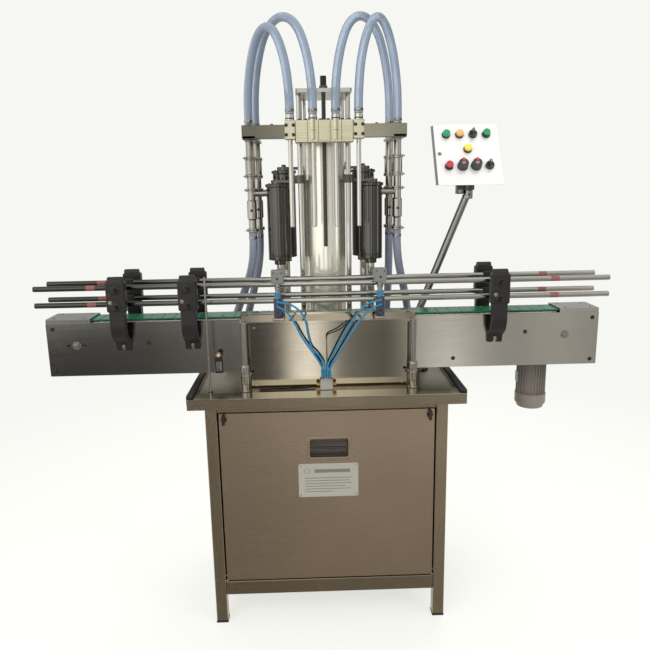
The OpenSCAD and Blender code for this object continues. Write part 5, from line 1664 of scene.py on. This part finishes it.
@dataclass
class Metering:
    """Cylinders, rods, drive, valve columns, hose clips and product manifold."""

    x: float = 10.0
    cylinders: tuple[Point, ...] = ((152.0, 5.0, 1456.0), (135.0, 100.0, 1500.0))
    columns: tuple[Flat, ...] = ((240.0, 5.0), (225.0, 100.0))
    low: float = 1208.0
    port_z: float = 1427.0

    def barrels(self) -> None:
        """Ground barrels with grooved caps, bolted head flange, gland and side port."""
        s = Sculptor("metering_barrels", BARREL, TURNED, DARK_STEEL)
        for dx, y, top in self.cylinders:
            for side in (-1, 1):
                x = self.x + side * dx
                height = top - self.low
                profile = [
                    (12.6, 12), (12.6, -15), (13.6, -16), (18.4, -16), (19.5, -14.6), (19.5, -2), (21, 0),
                    (36.6, 0), (38, 1.6), (38, 13), (37, 14), (37, 16), (38, 17), (38, height - 14),
                    (37, height - 12.5), (37, height - 11), (40.6, height - 10), (42, height - 8.6),
                    (42, height - 1.6), (40.6, height), (0, height),
                ]
                s.paint(0).lathe((x, y, self.low), UP, profile, 72)
                s.paint(2)
                for px, py in on_circle(6, 33, (x, y), 30):
                    s.socket_screw((px, py, top), UP, 3, 2.6)
                boss = [(0, 0), (13, 0), (13, 38.6), (11, 40), (11, 45), (0, 45)]
                s.paint(1).lathe((x, y, self.port_z), (side, 0, 0), boss, 36)
        s.done("machine", ["metering_cylinders"])

    def hangers(self) -> None:
        """Plates that hang each cylinder from a shaft, with clamp rings and a nut."""
        s = Sculptor("cylinder_hangers", BRACKET_STEEL, DARK_STEEL, TURNED)
        for (sx, sy), (dx, y, top) in zip(((77.0, -20.0), (64.0, 100.0)), self.cylinders):
            for side in (-1, 1):
                a, b = self.x + side * sx, self.x + side * dx
                xs, ys = sorted((a, b)), (min(sy, y) - 4, max(sy, y) + 14)
                s.paint(0).plate(
                    [[(xs[0], ys[0]), (xs[1], ys[0]), (xs[1], ys[1]), (xs[0], ys[1])]], upward, top + 2.6,
                    top + 12, 1.0,
                )
                s.lathe((b, y, top), UP, [(0, 0), (23, 0), (23, 11), (22, 12), (0, 12)], 44)
                ring = [(8.6, 0), (18, 0), (18, 24), (16.6, 26), (8.6, 26), (8.6, 0)]
                s.lathe((a, sy, top), UP, ring, 44)
                s.paint(1).hexagon((b, y, top + 12), (b, y, top + 20), 14, 0.8)
                s.paint(2).lathe((b, y, top + 11.6), UP, [(0, 1.6), (10.4, 1.6), (11, 0)], 32)
                s.paint(1).socket_screw((a + side * 17, sy, top + 13), (side, 0, 0), 3, 1.0)
        s.done("machine", ["cylinder_brackets"])

    def rods(self) -> None:
        """Piston rods with their sealed pistons."""
        s = Sculptor("metering_pistons", POLISHED, NYLON, TURNED)
        for dx, y, _ in self.cylinders:
            for side in (-1, 1):
                x = self.x + side * dx
                s.paint(0).rod((x, y, 695), (x, y, 1227), 12.5, 48, 0.8)
                piston = [
                    (0, 0), (33.4, 0), (34.9, 1.5), (34.9, 7), (31, 7), (31, 11), (34.9, 11), (34.9, 19),
                    (31, 19), (31, 23), (34.9, 23), (34.9, 28.6), (33.4, 30), (0, 30),
                ]
                s.paint(2).lathe((x, y, 1226), UP, piston, 56)
                for z in (7.2, 19.2):
                    s.paint(1).lathe(
                        (x, y, 1226 + z), UP, [(31, 0), (34.7, 0.4), (34.7, 3.2), (31, 3.6)], 56
                    )
        s.done("pistons", ["piston_rods"])

    def beam(self) -> None:
        """Cross beam that drives the four rods, with the air piston and its rod."""
        s = Sculptor("cross_beam", BRACKET_STEEL, TURNED, POLISHED, NYLON)
        reach = 178.0
        s.plate([round_rect((self.x - reach, self.x + reach), (-25, 130), 10)], upward, 665, 694.8, 1.6)
        for dx, y, _ in self.cylinders:
            for side in (-1, 1):
                s.paint(1).bolt((self.x + side * dx, y, 665), DOWN, 18, 7, 2)
        s.paint(2).rod((self.x, 52, 360), (self.x, 52, 666), 12.5, 40, 0.6)
        s.paint(3).lathe(
            (self.x, 52, 340), UP,
            [(0, 0), (23.6, 0), (24.9, 1.3), (24.9, 20.6), (23.6, 22), (0, 22)], 44,
        )
        s.done("pistons", ["drive_beam"])

    def air_drive(self) -> None:
        """Air cylinder with square caps, tie rods, ports, pedestal and base plate."""
        s = Sculptor("air_drive", ALLOY, TURNED, DARK_STEEL, BRASS)
        x, y = self.x, 52.0
        s.box((x - 90, -38, 157), (x + 90, 142, 167), 1.6, 2)
        s.paint(1).lathe(
            (x, y, 167), UP,
            [(0, 0), (40, 0), (40, 6), (36, 10), (36, 122), (40, 127), (40, 133), (0, 133)], 56,
        )
        tube = [(25, 24), (32, 24), (32, 296), (25, 296), (25, 24)]
        s.paint(0).lathe((x, y, 300), UP, tube, 56)
        s.box((x - 42, y - 42, 300), (x + 42, y + 42, 324), 3, 3)
        cap = [round_rect((x - 42, x + 42), (y - 42, y + 42), 5), disc(x, y, 12.6, 40)]
        s.plate(cap, upward, 596, 620, 1.4)
        for dx in (-34, 34):
            for dy in (-34, 34):
                s.paint(1).rod((x + dx, y + dy, 322), (x + dx, y + dy, 598), 4, 20, 0)
                s.paint(2).hexagon((x + dx, y + dy, 620), (x + dx, y + dy, 625), 12, 0.6)
        for z in (312, 608):
            s.paint(3).lathe((x - 42, y, z), (-1, 0, 0), [(0, 12), (4, 12), (4, 9), (7, 8), (7, 0)], 28)
        for dx in (-76, 76):
            for dy in (-76, 76):
                s.paint(2).bolt((x + dx, y + dy, 167), UP, 13, 7, 2)
        s.done("machine", ["drive_cylinder"])

    def _clamp(self, s: Sculptor, x: float, y: float, z: float, side: int) -> None:
        """Hinged band clamp round a pipe joint, with its wing nut in front."""
        band = [
            (12.4, 0), (17.6, 0), (18.8, 1), (18.8, 4.6), (17.6, 5.5), (18.8, 6.4), (18.8, 10), (17.6, 11),
            (12.4, 11),
        ]
        s.paint(1).lathe((x, y, z), UP, band, 44)
        out = (x + side * 13, y - 13.5, z + 5.5)
        s.box((out[0] - 3.4, y - 21, z + 2), (out[0] + 3.4, y - 9, z + 9), 1.2, 2)
        s.paint(2).rod(
            (out[0] - side * 2, y - 18, z + 5.5), (out[0] + side * 9, y - 18, z + 5.5), 1.8, 14, 0.3
        )
        s.paint(1).box(
            (out[0] + side * 3.4 - 1.6, y - 26, z + 2.6), (out[0] + side * 3.4 + 2.2, y - 10, z + 8.4), 1.4,
            2,
        )

    def valves(self) -> None:
        """Valve columns: pipe, check-valve bodies, clamps with wing nuts and branches."""
        s = Sculptor("valve_stacks", VALVE_STEEL, TURNED, DARK_STEEL)
        for (dx, y), (cx, _, _) in zip(self.columns, self.cylinders):
            for side in (-1, 1):
                x = self.x + side * dx
                stack = [
                    (0, 0), (11, 0), (12.5, 1.5), (12.5, 38), (16, 43), (16, 99), (12.5, 104), (12.5, 126),
                    (12.5, 182), (16, 186), (16, 230), (12.5, 234), (12.5, 300), (13.4, 302), (12.5, 304),
                    (12.5, 322), (13.4, 324), (12.5, 326), (12.5, 338.6), (11.4, 340), (0, 340),
                ]
                s.paint(0).lathe((x, y, 1302), UP, stack, 48)
                for z in (1302.0, 1432.0, 1476.0, 1533.0):
                    self._clamp(s, x, y, z, side)
                port = self.x + side * (cx + 45)
                a, b = (port, y, self.port_z), (x, y, self.port_z)
                s.paint(0).rod(a, b, 11, 36, 0)
                s.paint(2).hexagon((x, y - 15, 1372), (x, y - 20, 1372), 9, 0.5)
        s.done("machine", ["valve_columns"])

    def clips(self) -> None:
        """Worm-drive clips on the hose ends: at the columns, nozzles and manifold."""
        fixed = Sculptor("hose_clips_fixed", TURNED, DARK_STEEL)
        moving = Sculptor("hose_clips_carriage", TURNED, DARK_STEEL)
        spots = [
            (fixed, self.x + side * dx, y, z)
            for dx, y in self.columns for side in (-1, 1) for z in (1648.0, 1278.0)
        ]
        spots += [(moving, self.x + k * 70, -112.0, 1668.0) for k in (-1.5, -0.5, 0.5, 1.5)]
        for x in (-330, -280, 235, 320):
            spots.append((fixed, float(x), 190.0, 928.0))
        for s, x, y, z in spots:
            s.paint(0).lathe((x, y, z), UP, [(13.3, 0), (14.3, 0), (14.3, 9), (13.3, 9), (13.3, 0)], 44)
            s.box((x - 5.5, y - 19, z + 0.6), (x + 5.5, y - 13.2, z + 8.4), 1.4, 2)
            s.paint(1).hexagon((x + 5.2, y - 16.4, z + 4.5), (x + 9.4, y - 16.4, z + 4.5), 5.6, 0.4)
        fixed.done("machine")
        moving.done("carriage")

    def manifold(self) -> None:
        """Product header with its flange, stub, spigots, end cap and saddles."""
        s = Sculptor("product_header", POLISHED, DARK_STEEL)
        y, z = 190.0, 880.0
        pipe = [
            (0, 0), (20, 0), (25.5, 4), (25.5, 709), (32, 709.5), (32, 714.5), (25.5, 715), (25.5, 753),
            (24.8, 755), (24, 755), (24, 700), (0, 700),
        ]
        s.lathe((-370, y, z), RIGHT, pipe, 56)
        for x in (-330, -280, 235, 320):
            s.paint(0).lathe((x, y, z + 20), UP, [(0, 0), (15, 3), (12.5, 8), (12.5, 25), (0, 25)], 36)
        s.paint(1)
        for py, pz in on_circle(4, 28.4, (y, z), 45):
            s.hexagon((339.4, py, pz), (335.4, py, pz), 6, 0.4)
        for x in (-200, 180):
            s.paint(0).box((x - 15, y - 15, 817), (x + 15, y + 15, 855.5), 1.6, 2)
            s.box((x - 30, y - 30, 817), (x + 30, y + 30, 823), 1.2, 2)
            for dx in (-22, 22):
                s.paint(1).bolt((x + dx, y, 823), UP, 8, 4, 1)
        s.done("machine", ["product_manifold"])

    def build(self) -> None:
        """Makes every piece of the metering group."""
        for make in (
            self.barrels, self.hangers, self.rods, self.beam, self.air_drive, self.valves, self.clips,
            self.manifold,
        ):
            make()
        LOG.info("metering done")


# ------------------------------------------------------------------ controls


class Post(Enum):
    """Places of the devices on the panel, as (column, row)."""

    READY_LAMP = (0.0, 0)
    POWER_LAMP = (1.0, 0)
    RUN_SELECTOR = (2.0, 0)
    START = (3.0, 0)
    FAULT_LAMP = (1.5, 1)
    STOP = (0.0, 2)
    SPEED = (1.0, 2)
    FILL = (2.0, 2)
    MODE_SELECTOR = (3.0, 2)


@dataclass
class Controls:
    """Leaning control box on its swivel arm, with lamps, buttons and knobs."""

    edge: Point = (490.0, -20.0, 1442.0)
    width: float = 215.0
    length: float = 230.0
    depth: float = 45.0
    lean: float = math.radians(30)
    pitch: float = 45.0
    rows: tuple[float, ...] = (190.0, 133.0, 70.0)
    swivel: Flat = (486.0, 6.0)
    neck_z: float = 1425.0

    @property
    def face(self) -> Matrix:
        """Turns face coordinates (across, into the box, up the face) into the machine's."""
        return Matrix.Translation(self.edge) @ Matrix.Rotation(-self.lean, 4, "X")

    def seat(self, post: Post, turn: float = 0.0) -> Matrix:
        """Frame of a device on the face, turned about the device's own axis."""
        column, row = post.value
        place = Matrix.Translation((self.pitch * (column - 1.5), 0, self.rows[row]))
        return self.face @ place @ Matrix.Rotation(turn, 4, "Y")

    def spot(self, post: Post) -> Vector:
        """Centre of a device on the face."""
        return self.seat(post).translation

    @property
    def out(self) -> Vector:
        """Direction out of the face."""
        return self.face.to_3x3() @ Vector(FRONT)

    def box(self) -> None:
        """Shell with level top and bottom, a lid with a seam, hinges, lock and neck."""
        s = Sculptor("panel_box", BOX_STEEL, TURNED, GLOSS_BLACK, BOX_SHELL_SHADE)
        half, rise = self.width / 2, math.tan(self.lean)

        def place(into: float, up: float, across: float) -> Point:
            return tuple(self.face @ Vector((across, into, up)))

        shell = [
            (2.2, 2.2 * rise + 1), (self.depth, self.depth * rise),
            (self.depth, self.length + self.depth * rise), (2.2, self.length + 2.2 * rise - 1),
        ]
        # The shell takes the darker copy of the box steel: painted shade on the box's sides.
        s.paint(3).prism(shell, place, -half + 1, half - 1, 1.6)
        s.paint(0)

        def lid(u: float, v: float, into: float) -> Point:
            return tuple(self.face @ Vector((u, into, v)))

        holes = [disc(self.pitch * (p.value[0] - 1.5), self.rows[p.value[1]], 10.2, 32) for p in Post]
        s.plate([round_rect((-half, half), (0, self.length), 5), *holes], lid, 0.0, 2.0, 0.7)
        s.paint(1)
        for up in (40.0, 185.0):
            a, b = self.face @ Vector(
                (half - 2.5, 3.5, up - 14)
            ), self.face @ Vector((half - 2.5, 3.5, up + 14))
            s.rod(a, b, 2.4, 18, 0.4)
        s.lathe(
            self.face @ Vector((-half + 13, 0, 118)), self.out, [(0, 1.6), (4.6, 1.6), (6.2, 1.2), (7, 0)],
            32,
        )
        s.paint(2).box((-half + 11.9, -1.9, 114.6), (-half + 14.1, -1.2, 121.4), 0.2, 1, self.face)
        sx, sy = self.swivel
        ring = [(12.1, 0.3), (19, 0.3), (20, 1.4), (20, 17.5), (12.1, 17.5), (12.1, 0.3)]
        s.lathe((sx, sy, self.neck_z), UP, ring, 44)
        s.box((sx - 40, sy - 14, self.neck_z - 12), (sx - 17.5, sy + 14, self.edge[2] + 0.6), 2.4, 3)
        s.paint(1).bolt((sx - 30, sy - 14, self.neck_z - 4), FRONT, 9, 3.4, 1)
        s.done("control_head", ["control_box"])

    def arm(self) -> None:
        """Foot flange, upright, bent elbow, slanted tube and swivel post."""
        s = Sculptor("swivel_arm", ARM_STEEL, DARK_STEEL)
        fx, fy = 322.0, self.swivel[1]
        flange = [(0, 0), (38.6, 0), (40, 1.4), (40, 6.6), (38.6, 8), (14, 8), (12.5, 12), (0, 12)]
        s.lathe((fx, fy, 817), UP, flange, 56)
        s.paint(1)
        for px, py in on_circle(4, 29, (fx, fy), 45):
            s.bolt((px, py, 825), UP, 10, 5, 1.2)
        shoulder = Vector((self.swivel[0] - 5, fy, self.neck_z - 18))
        elbow = Vector((fx, fy, 1010))
        slope = (shoulder - elbow).normalized()
        route = [Vector((fx, fy, z)) for z in (826, 880, 930, 970, 990)]
        for k in range(1, 8):
            t = k / 8
            route.append((Vector((fx, fy, 990)).lerp(elbow, t)).lerp(elbow.lerp(elbow + slope * 20, t), t))
        route += [elbow + slope * d for d in (20, 60, 140, 220, 300, 380, (shoulder - elbow).length)]
        s.paint(0).sweep(route, 12.5, 40)
        sx, sy = self.swivel
        boss = [(0, 0), (13.6, 0), (15, 1.6), (15, 26.6), (14, 28), (0, 28)]
        s.lathe((sx, sy, self.neck_z - 28), UP, boss, 44)
        s.rod((sx, sy, self.neck_z - 2), (sx, sy, self.neck_z + 14), 12, 40, 0.8)
        s.paint(1).socket_screw((sx, sy - 14.6, self.neck_z - 14), FRONT, 3.4, 2.4)
        s.done("machine", ["panel_arm"])

    def collars(self) -> None:
        """Collars round every device, with a knurled nut edge; wide ones under the knobs."""
        s = Sculptor("device_collars", GLOSS_BLACK)
        for post in Post:
            wide = post in (Post.SPEED, Post.FILL)
            r = 18.0 if wide else 14.5
            ring = [
                (10.3, 0.0), (r, 0.0), (r, 2.0), (r - 0.9, 2.6), (r - 0.9, 5.4), (r - 2.4, 8.0),
                (10.3, 8.0), (10.3, 0.0),
            ]
            s.lathe(self.spot(post), self.out, ring, 44)
            for k in range(20):
                turned = self.seat(post, 2 * math.pi * k / 20)
                s.box((r - 1.1, -5.2, -0.9), (r - 0.35, -2.8, 0.9), 0.2, 1, turned)
        s.done("control_head", ["bezels"])

    def lamps(self) -> None:
        """Three pilot lamps: fluted lens over a body."""
        lenses = (
            (Post.READY_LAMP, GREEN_LENS), (Post.POWER_LAMP, AMBER_LENS), (Post.FAULT_LAMP, YELLOW_LENS)
        )
        for post, finish in lenses:
            s = Sculptor(f"lamp_{post.name.lower()}", finish)
            dome = [
                (0, -15), (9.9, -15), (9.9, 8.2), (12, 8.4), (12, 15.4), (11.2, 17.4), (8.4, 19.2),
                (0, 19.9),
            ]
            s.lathe(self.spot(post), self.out, dome, 44)
            for k in range(18):
                turned = self.seat(post, 2 * math.pi * k / 18)
                s.box((11.3, -15.6, -0.7), (12.25, -9, 0.7), 0.25, 1, turned)
            s.done("control_head", ["pilot_lamps"])

    def buttons(self) -> None:
        """Start and stop caps, dished in front, with their stems."""
        for post, body, slot, finish in (
            (Post.START, "start_button", "button_green", GREEN_CAP),
            (Post.STOP, "stop_button", "button_red", RED_CAP),
        ):
            s = Sculptor(f"{body}_cap", finish)
            cap = [
                (0, 17.4), (7.6, 17.8), (9.4, 19), (11.2, 18.6), (12, 17.2), (12, 13), (9.9, 13),
                (9.9, -12), (0, -12),
            ]
            s.lathe(self.spot(post), self.out, cap, 48)
            s.done(body, [body])

    def selectors(self) -> None:
        """Selector levers with a tapered grip and a white index line."""
        for post, body in ((Post.RUN_SELECTOR, "selector_run"), (Post.MODE_SELECTOR, "selector_mode")):
            s = Sculptor(f"{body}_lever", GLOSS_BLACK, ACETAL)
            hub = [(0, 12), (12, 12), (13.5, 10.6), (13.5, 8.5), (9.9, 8.5), (9.9, -14), (0, -14)]
            s.lathe(self.spot(post), self.out, hub, 44)
            at = self.seat(post)
            grip = [(-5, -13), (5, -13), (5, 9), (2.4, 13), (-2.4, 13), (-5, 9)]

            def lever(u: float, v: float, depth: float, at: Matrix = at) -> Point:
                return tuple(at @ Vector((u, -depth, v)))

            s.prism(grip, lever, 11, 24, 1.6)
            s.paint(1).box((-0.8, -24.3, 1), (0.8, -23.6, 12), 0.2, 1, at)
            s.done(body, [body])

    def knobs(self) -> None:
        """Speed and fill knobs: fluted skirt, dished top and red index."""
        for post, body in ((Post.SPEED, "speed_knob"), (Post.FILL, "fill_knob")):
            s = Sculptor(f"{body}_dial", KNOB, RED_CAP, ALLOY)
            dial = [
                (0, 25), (9, 25), (10.4, 26), (14, 26), (15.2, 24.6), (15.8, 12.6), (17, 11.4), (17, 8.5),
                (9.9, 8.5), (9.9, -14), (0, -14),
            ]
            s.lathe(self.spot(post), self.out, dial, 52)
            at = self.seat(post)
            for k in range(24):
                turned = self.seat(post, 2 * math.pi * k / 24)
                s.box((14.9, -23.6, -0.8), (16.3, -12.6, 0.8), 0.4, 1, turned)
            s.paint(1).box((-4, -28, 2), (4, -25, 16), 1.0, 2, at)
            s.paint(2).lathe(self.spot(post), self.out, [(0, 25.8), (5, 25.6), (6, 25)], 32)
            s.done(body, [body])

    def build(self) -> None:
        """Makes every piece of the controls."""
        for make in (self.box, self.arm, self.collars, self.lamps, self.buttons, self.selectors, self.knobs):
            make()
        LOG.info("controls done")


# ------------------------------------------------------------------ studio


@dataclass(frozen=True)
class Ring:
    """Soft boxes and dark flags round the object at one height, as (bearing, brightness)."""

    stops: tuple[Flat, ...]
    tint: Colour = (1.0, 1.0, 1.0)

    def node(self, tree: bpy.types.NodeTree, bearing: Socket) -> Socket:
        """Makes the ramp; bearings run from -180 to 180 degrees, 0 towards the operator."""
        ramp = tree.nodes.new("ShaderNodeValToRGB")
        tree.links.new(bearing, ramp.inputs[0])
        points = ramp.color_ramp.elements
        while len(points) < len(self.stops):
            points.new(0.5)
        for point, (angle, value) in zip(points, self.stops):
            point.position = angle / 360 + 0.5
            point.color = (*(value / 2 * t for t in self.tint), 1)
        return ramp.outputs[0]


BOXES = Ring(
    (
        (-180, 0.5), (-150, 0.45), (-120, 0.7), (-100, 1.1), (-70, 1.0), (-50, 1.3), (-20, 1.5), (-12, 0.9),
        (-6, 0.4), (-4, 1.4), (4, 1.4), (10, 0.4), (20, 0.5), (26, 0.65), (41, 0.5), (58, 0.4), (70, 1.6),
        (76, 1.6), (80, 0.3), (98, 0.25), (125, 0.25), (150, 0.45), (180, 0.5),
    )
)
SKIRTING = Ring(
    (
        (-180, 0.7), (-90, 0.6), (-40, 0.2), (-30, 0.08), (-22, 0.09), (-15, 0.11), (-10, 0.2), (-7, 0.1),
        (-5, 0.06), (-3, 0.12), (-2.0, 0.35), (-1.1, 1.9), (0.7, 1.9), (1.8, 0.3), (5, 0.24), (7.5, 0.1),
        (9, 0.5), (12.7, 1.15), (15, 0.5), (17, 0.35), (21.6, 0.55), (26, 0.4), (40, 0.3), (90, 0.6),
        (180, 0.7),
    ),
    (1.0, 0.98, 0.94),
)
GROUND = Ring(
    (
        (-180, 0.8), (-70, 0.6), (-16, 0.25), (-12, 0.14), (-8, 0.16), (-5, 0.24), (0, 0.27), (4, 0.32),
        (7, 0.46), (10, 0.42), (14, 0.25), (70, 0.6), (180, 0.8),
    ),
    (1.0, 0.93, 0.84),
)


@dataclass(frozen=True)
class Studio:
    """Camera, floor and soft light."""

    location: Point = (-0.048, -2.156, 1.447)
    yaw: float = -0.024
    pitch: float = -0.213
    roll: float = 0.018
    lens: float = 35.61
    backdrop: Colour = srgb("f6f7f2")

    def camera(self) -> None:
        """Places the camera."""
        data = bpy.data.cameras.new("camera")
        data.lens, data.sensor_width = self.lens, 36.0
        data.clip_start, data.clip_end = 0.05, 60.0
        cam = bpy.data.objects.new("camera", data)
        turn = (
            Matrix.Rotation(self.yaw, 4, "Z")
            @ Matrix.Rotation(self.pitch, 4, "X")
            @ Matrix.Rotation(self.roll, 4, "Y")
            @ Matrix.Rotation(math.pi / 2, 4, "X")
        )
        cam.matrix_world = Matrix.Translation(self.location) @ turn
        bpy.context.scene.collection.objects.link(cam)
        bpy.context.scene.camera = cam

    def floor(self) -> None:
        """Lays a wide pale floor that runs into the backdrop."""
        bm = bmesh.new()
        bmesh.ops.create_grid(bm, x_segments=1, y_segments=1, size=40.0)
        mesh = bpy.data.meshes.new("studio_floor")
        bm.to_mesh(mesh)
        bm.free()
        g = Graph("floor_paint")
        away = g.node(
            "ShaderNodeVectorMath", {0: g.coords.outputs["Object"]}, operation="LENGTH"
        ).outputs["Value"]
        far = g.span(away, 0.0, 1.0, 0.9, 3.0)
        dark = (0.0, 0.0, 0.0)
        near = tuple(0.32 * c for c in self.backdrop)
        mesh.materials.append(
            g.surface(
                Base_Color=g.mix(far, near, dark),
                Roughness=0.9,
                Specular_IOR_Level=0.0,
                Emission_Color=self.backdrop,
                Emission_Strength=g.span(far, 0.72, 1.0, 0.0, 1.0),
            )
        )
        made = bpy.data.objects.new("studio_floor", mesh)
        made.location = (0, 0, -0.0005)
        made.visible_glossy = False
        bpy.context.scene.collection.objects.link(made)

    def area(self, name: str, at: Point, aim: Point, size: Flat, power: float, tint: Colour) -> None:
        """Adds a soft rectangular light that doesn't mirror in the steel."""
        data = bpy.data.lights.new(name, "AREA")
        data.shape, data.size, data.size_y = "RECTANGLE", *size
        data.energy, data.color = power, tint
        lamp = bpy.data.objects.new(name, data)
        look = (Vector(aim) - Vector(at)).to_track_quat("-Z", "Y").to_matrix().to_4x4()
        lamp.matrix_world = Matrix.Translation(at) @ look
        lamp.visible_glossy = False
        bpy.context.scene.collection.objects.link(lamp)

    def world(self) -> None:
        """Pale backdrop for the camera; soft boxes and flags for everything else."""
        world = bpy.data.worlds.new("studio")
        bpy.context.scene.world = world
        world.use_nodes = True
        tree = world.node_tree
        tree.nodes.clear()

        def number(operation: str, *values) -> Socket:
            made = tree.nodes.new("ShaderNodeMath")
            made.operation = operation
            for index, value in enumerate(values):
                if isinstance(value, Socket):
                    tree.links.new(value, made.inputs[index])
                else:
                    made.inputs[index].default_value = value
            return made.outputs[0]

        def blend(factor: Socket, low: Socket, high: Socket):
            made = tree.nodes.new("ShaderNodeMix")
            made.data_type = "RGBA"
            for index, value in ((0, factor), (6, low), (7, high)):
                tree.links.new(value, made.inputs[index])
            return made.outputs[2]

        def rise(value: Socket, start: float, stop: float) -> Socket:
            made = tree.nodes.new("ShaderNodeMapRange")
            tree.links.new(value, made.inputs["Value"])
            made.inputs["From Min"].default_value = math.sin(math.radians(start))
            made.inputs["From Max"].default_value = math.sin(math.radians(stop))
            return made.outputs[0]

        coords = tree.nodes.new("ShaderNodeTexCoord")
        split = tree.nodes.new("ShaderNodeSeparateXYZ")
        tree.links.new(coords.outputs["Generated"], split.inputs[0])
        x, y, z = split.outputs
        turn = number("ARCTAN2", x, number("MULTIPLY", y, -1.0))
        bearing = number("ADD", number("DIVIDE", turn, 2 * math.pi), 0.5)
        ceiling = tree.nodes.new("ShaderNodeRGB")
        ceiling.outputs[0].default_value = (0.42, 0.42, 0.41, 1)
        low = blend(rise(z, -24, -19), GROUND.node(tree, bearing), SKIRTING.node(tree, bearing))
        sides = blend(rise(z, -10.5, -8.5), low, BOXES.node(tree, bearing))
        round_all = blend(rise(z, 36, 46), sides, ceiling.outputs[0])
        room = tree.nodes.new("ShaderNodeBackground")
        room.inputs["Strength"].default_value = 2.0
        pale = tree.nodes.new("ShaderNodeBackground")
        pale.inputs["Color"].default_value = (*self.backdrop, 1)
        path = tree.nodes.new("ShaderNodeLightPath")
        mixed = tree.nodes.new("ShaderNodeMixShader")
        out = tree.nodes.new("ShaderNodeOutputWorld")
        for a, b in (
            (round_all, room.inputs["Color"]),
            (path.outputs["Is Camera Ray"], mixed.inputs[0]),
            (room.outputs[0], mixed.inputs[1]),
            (pale.outputs[0], mixed.inputs[2]),
            (mixed.outputs[0], out.inputs["Surface"]),
        ):
            tree.links.new(a, b)

    def build(self) -> None:
        """Sets up everything round the object."""
        self.camera()
        self.floor()
        self.world()
        self.area("key", (-1.8, -3.0, 3.2), (0, 0, 1.0), (2.4, 1.8), 60, (1.0, 0.97, 0.92))
        self.area("fill", (2.6, -2.4, 2.2), (0, 0, 1.1), (1.6, 2.2), 35, (0.95, 0.97, 1.0))
        self.area("top", (0, 0.4, 4.2), (0, 0, 0.8), (3.5, 2.5), 45, (1.0, 1.0, 1.0))
        self.area("back", (1.5, 3.4, 2.6), (0, 0, 1.0), (2.6, 2.0), 45, (1.0, 1.0, 1.0))
        scene = bpy.context.scene
        scene.view_settings.view_transform = "Standard"
        scene.view_settings.look = "None"


# ------------------------------------------------------------------ assembly


def main() -> None:
    """Builds the scene."""
    logging.basicConfig(level=logging.INFO, format="%(message)s")
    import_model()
    Studio().build()
    for cord in CORDS:
        cord.build()
    for group in (
        Cabinet(), Table(), Conveyor(), GuideRails(), Station(), FillingHead(), Metering(), Controls()
    ):
        group.build()


if __name__ == "__main__":
    main()
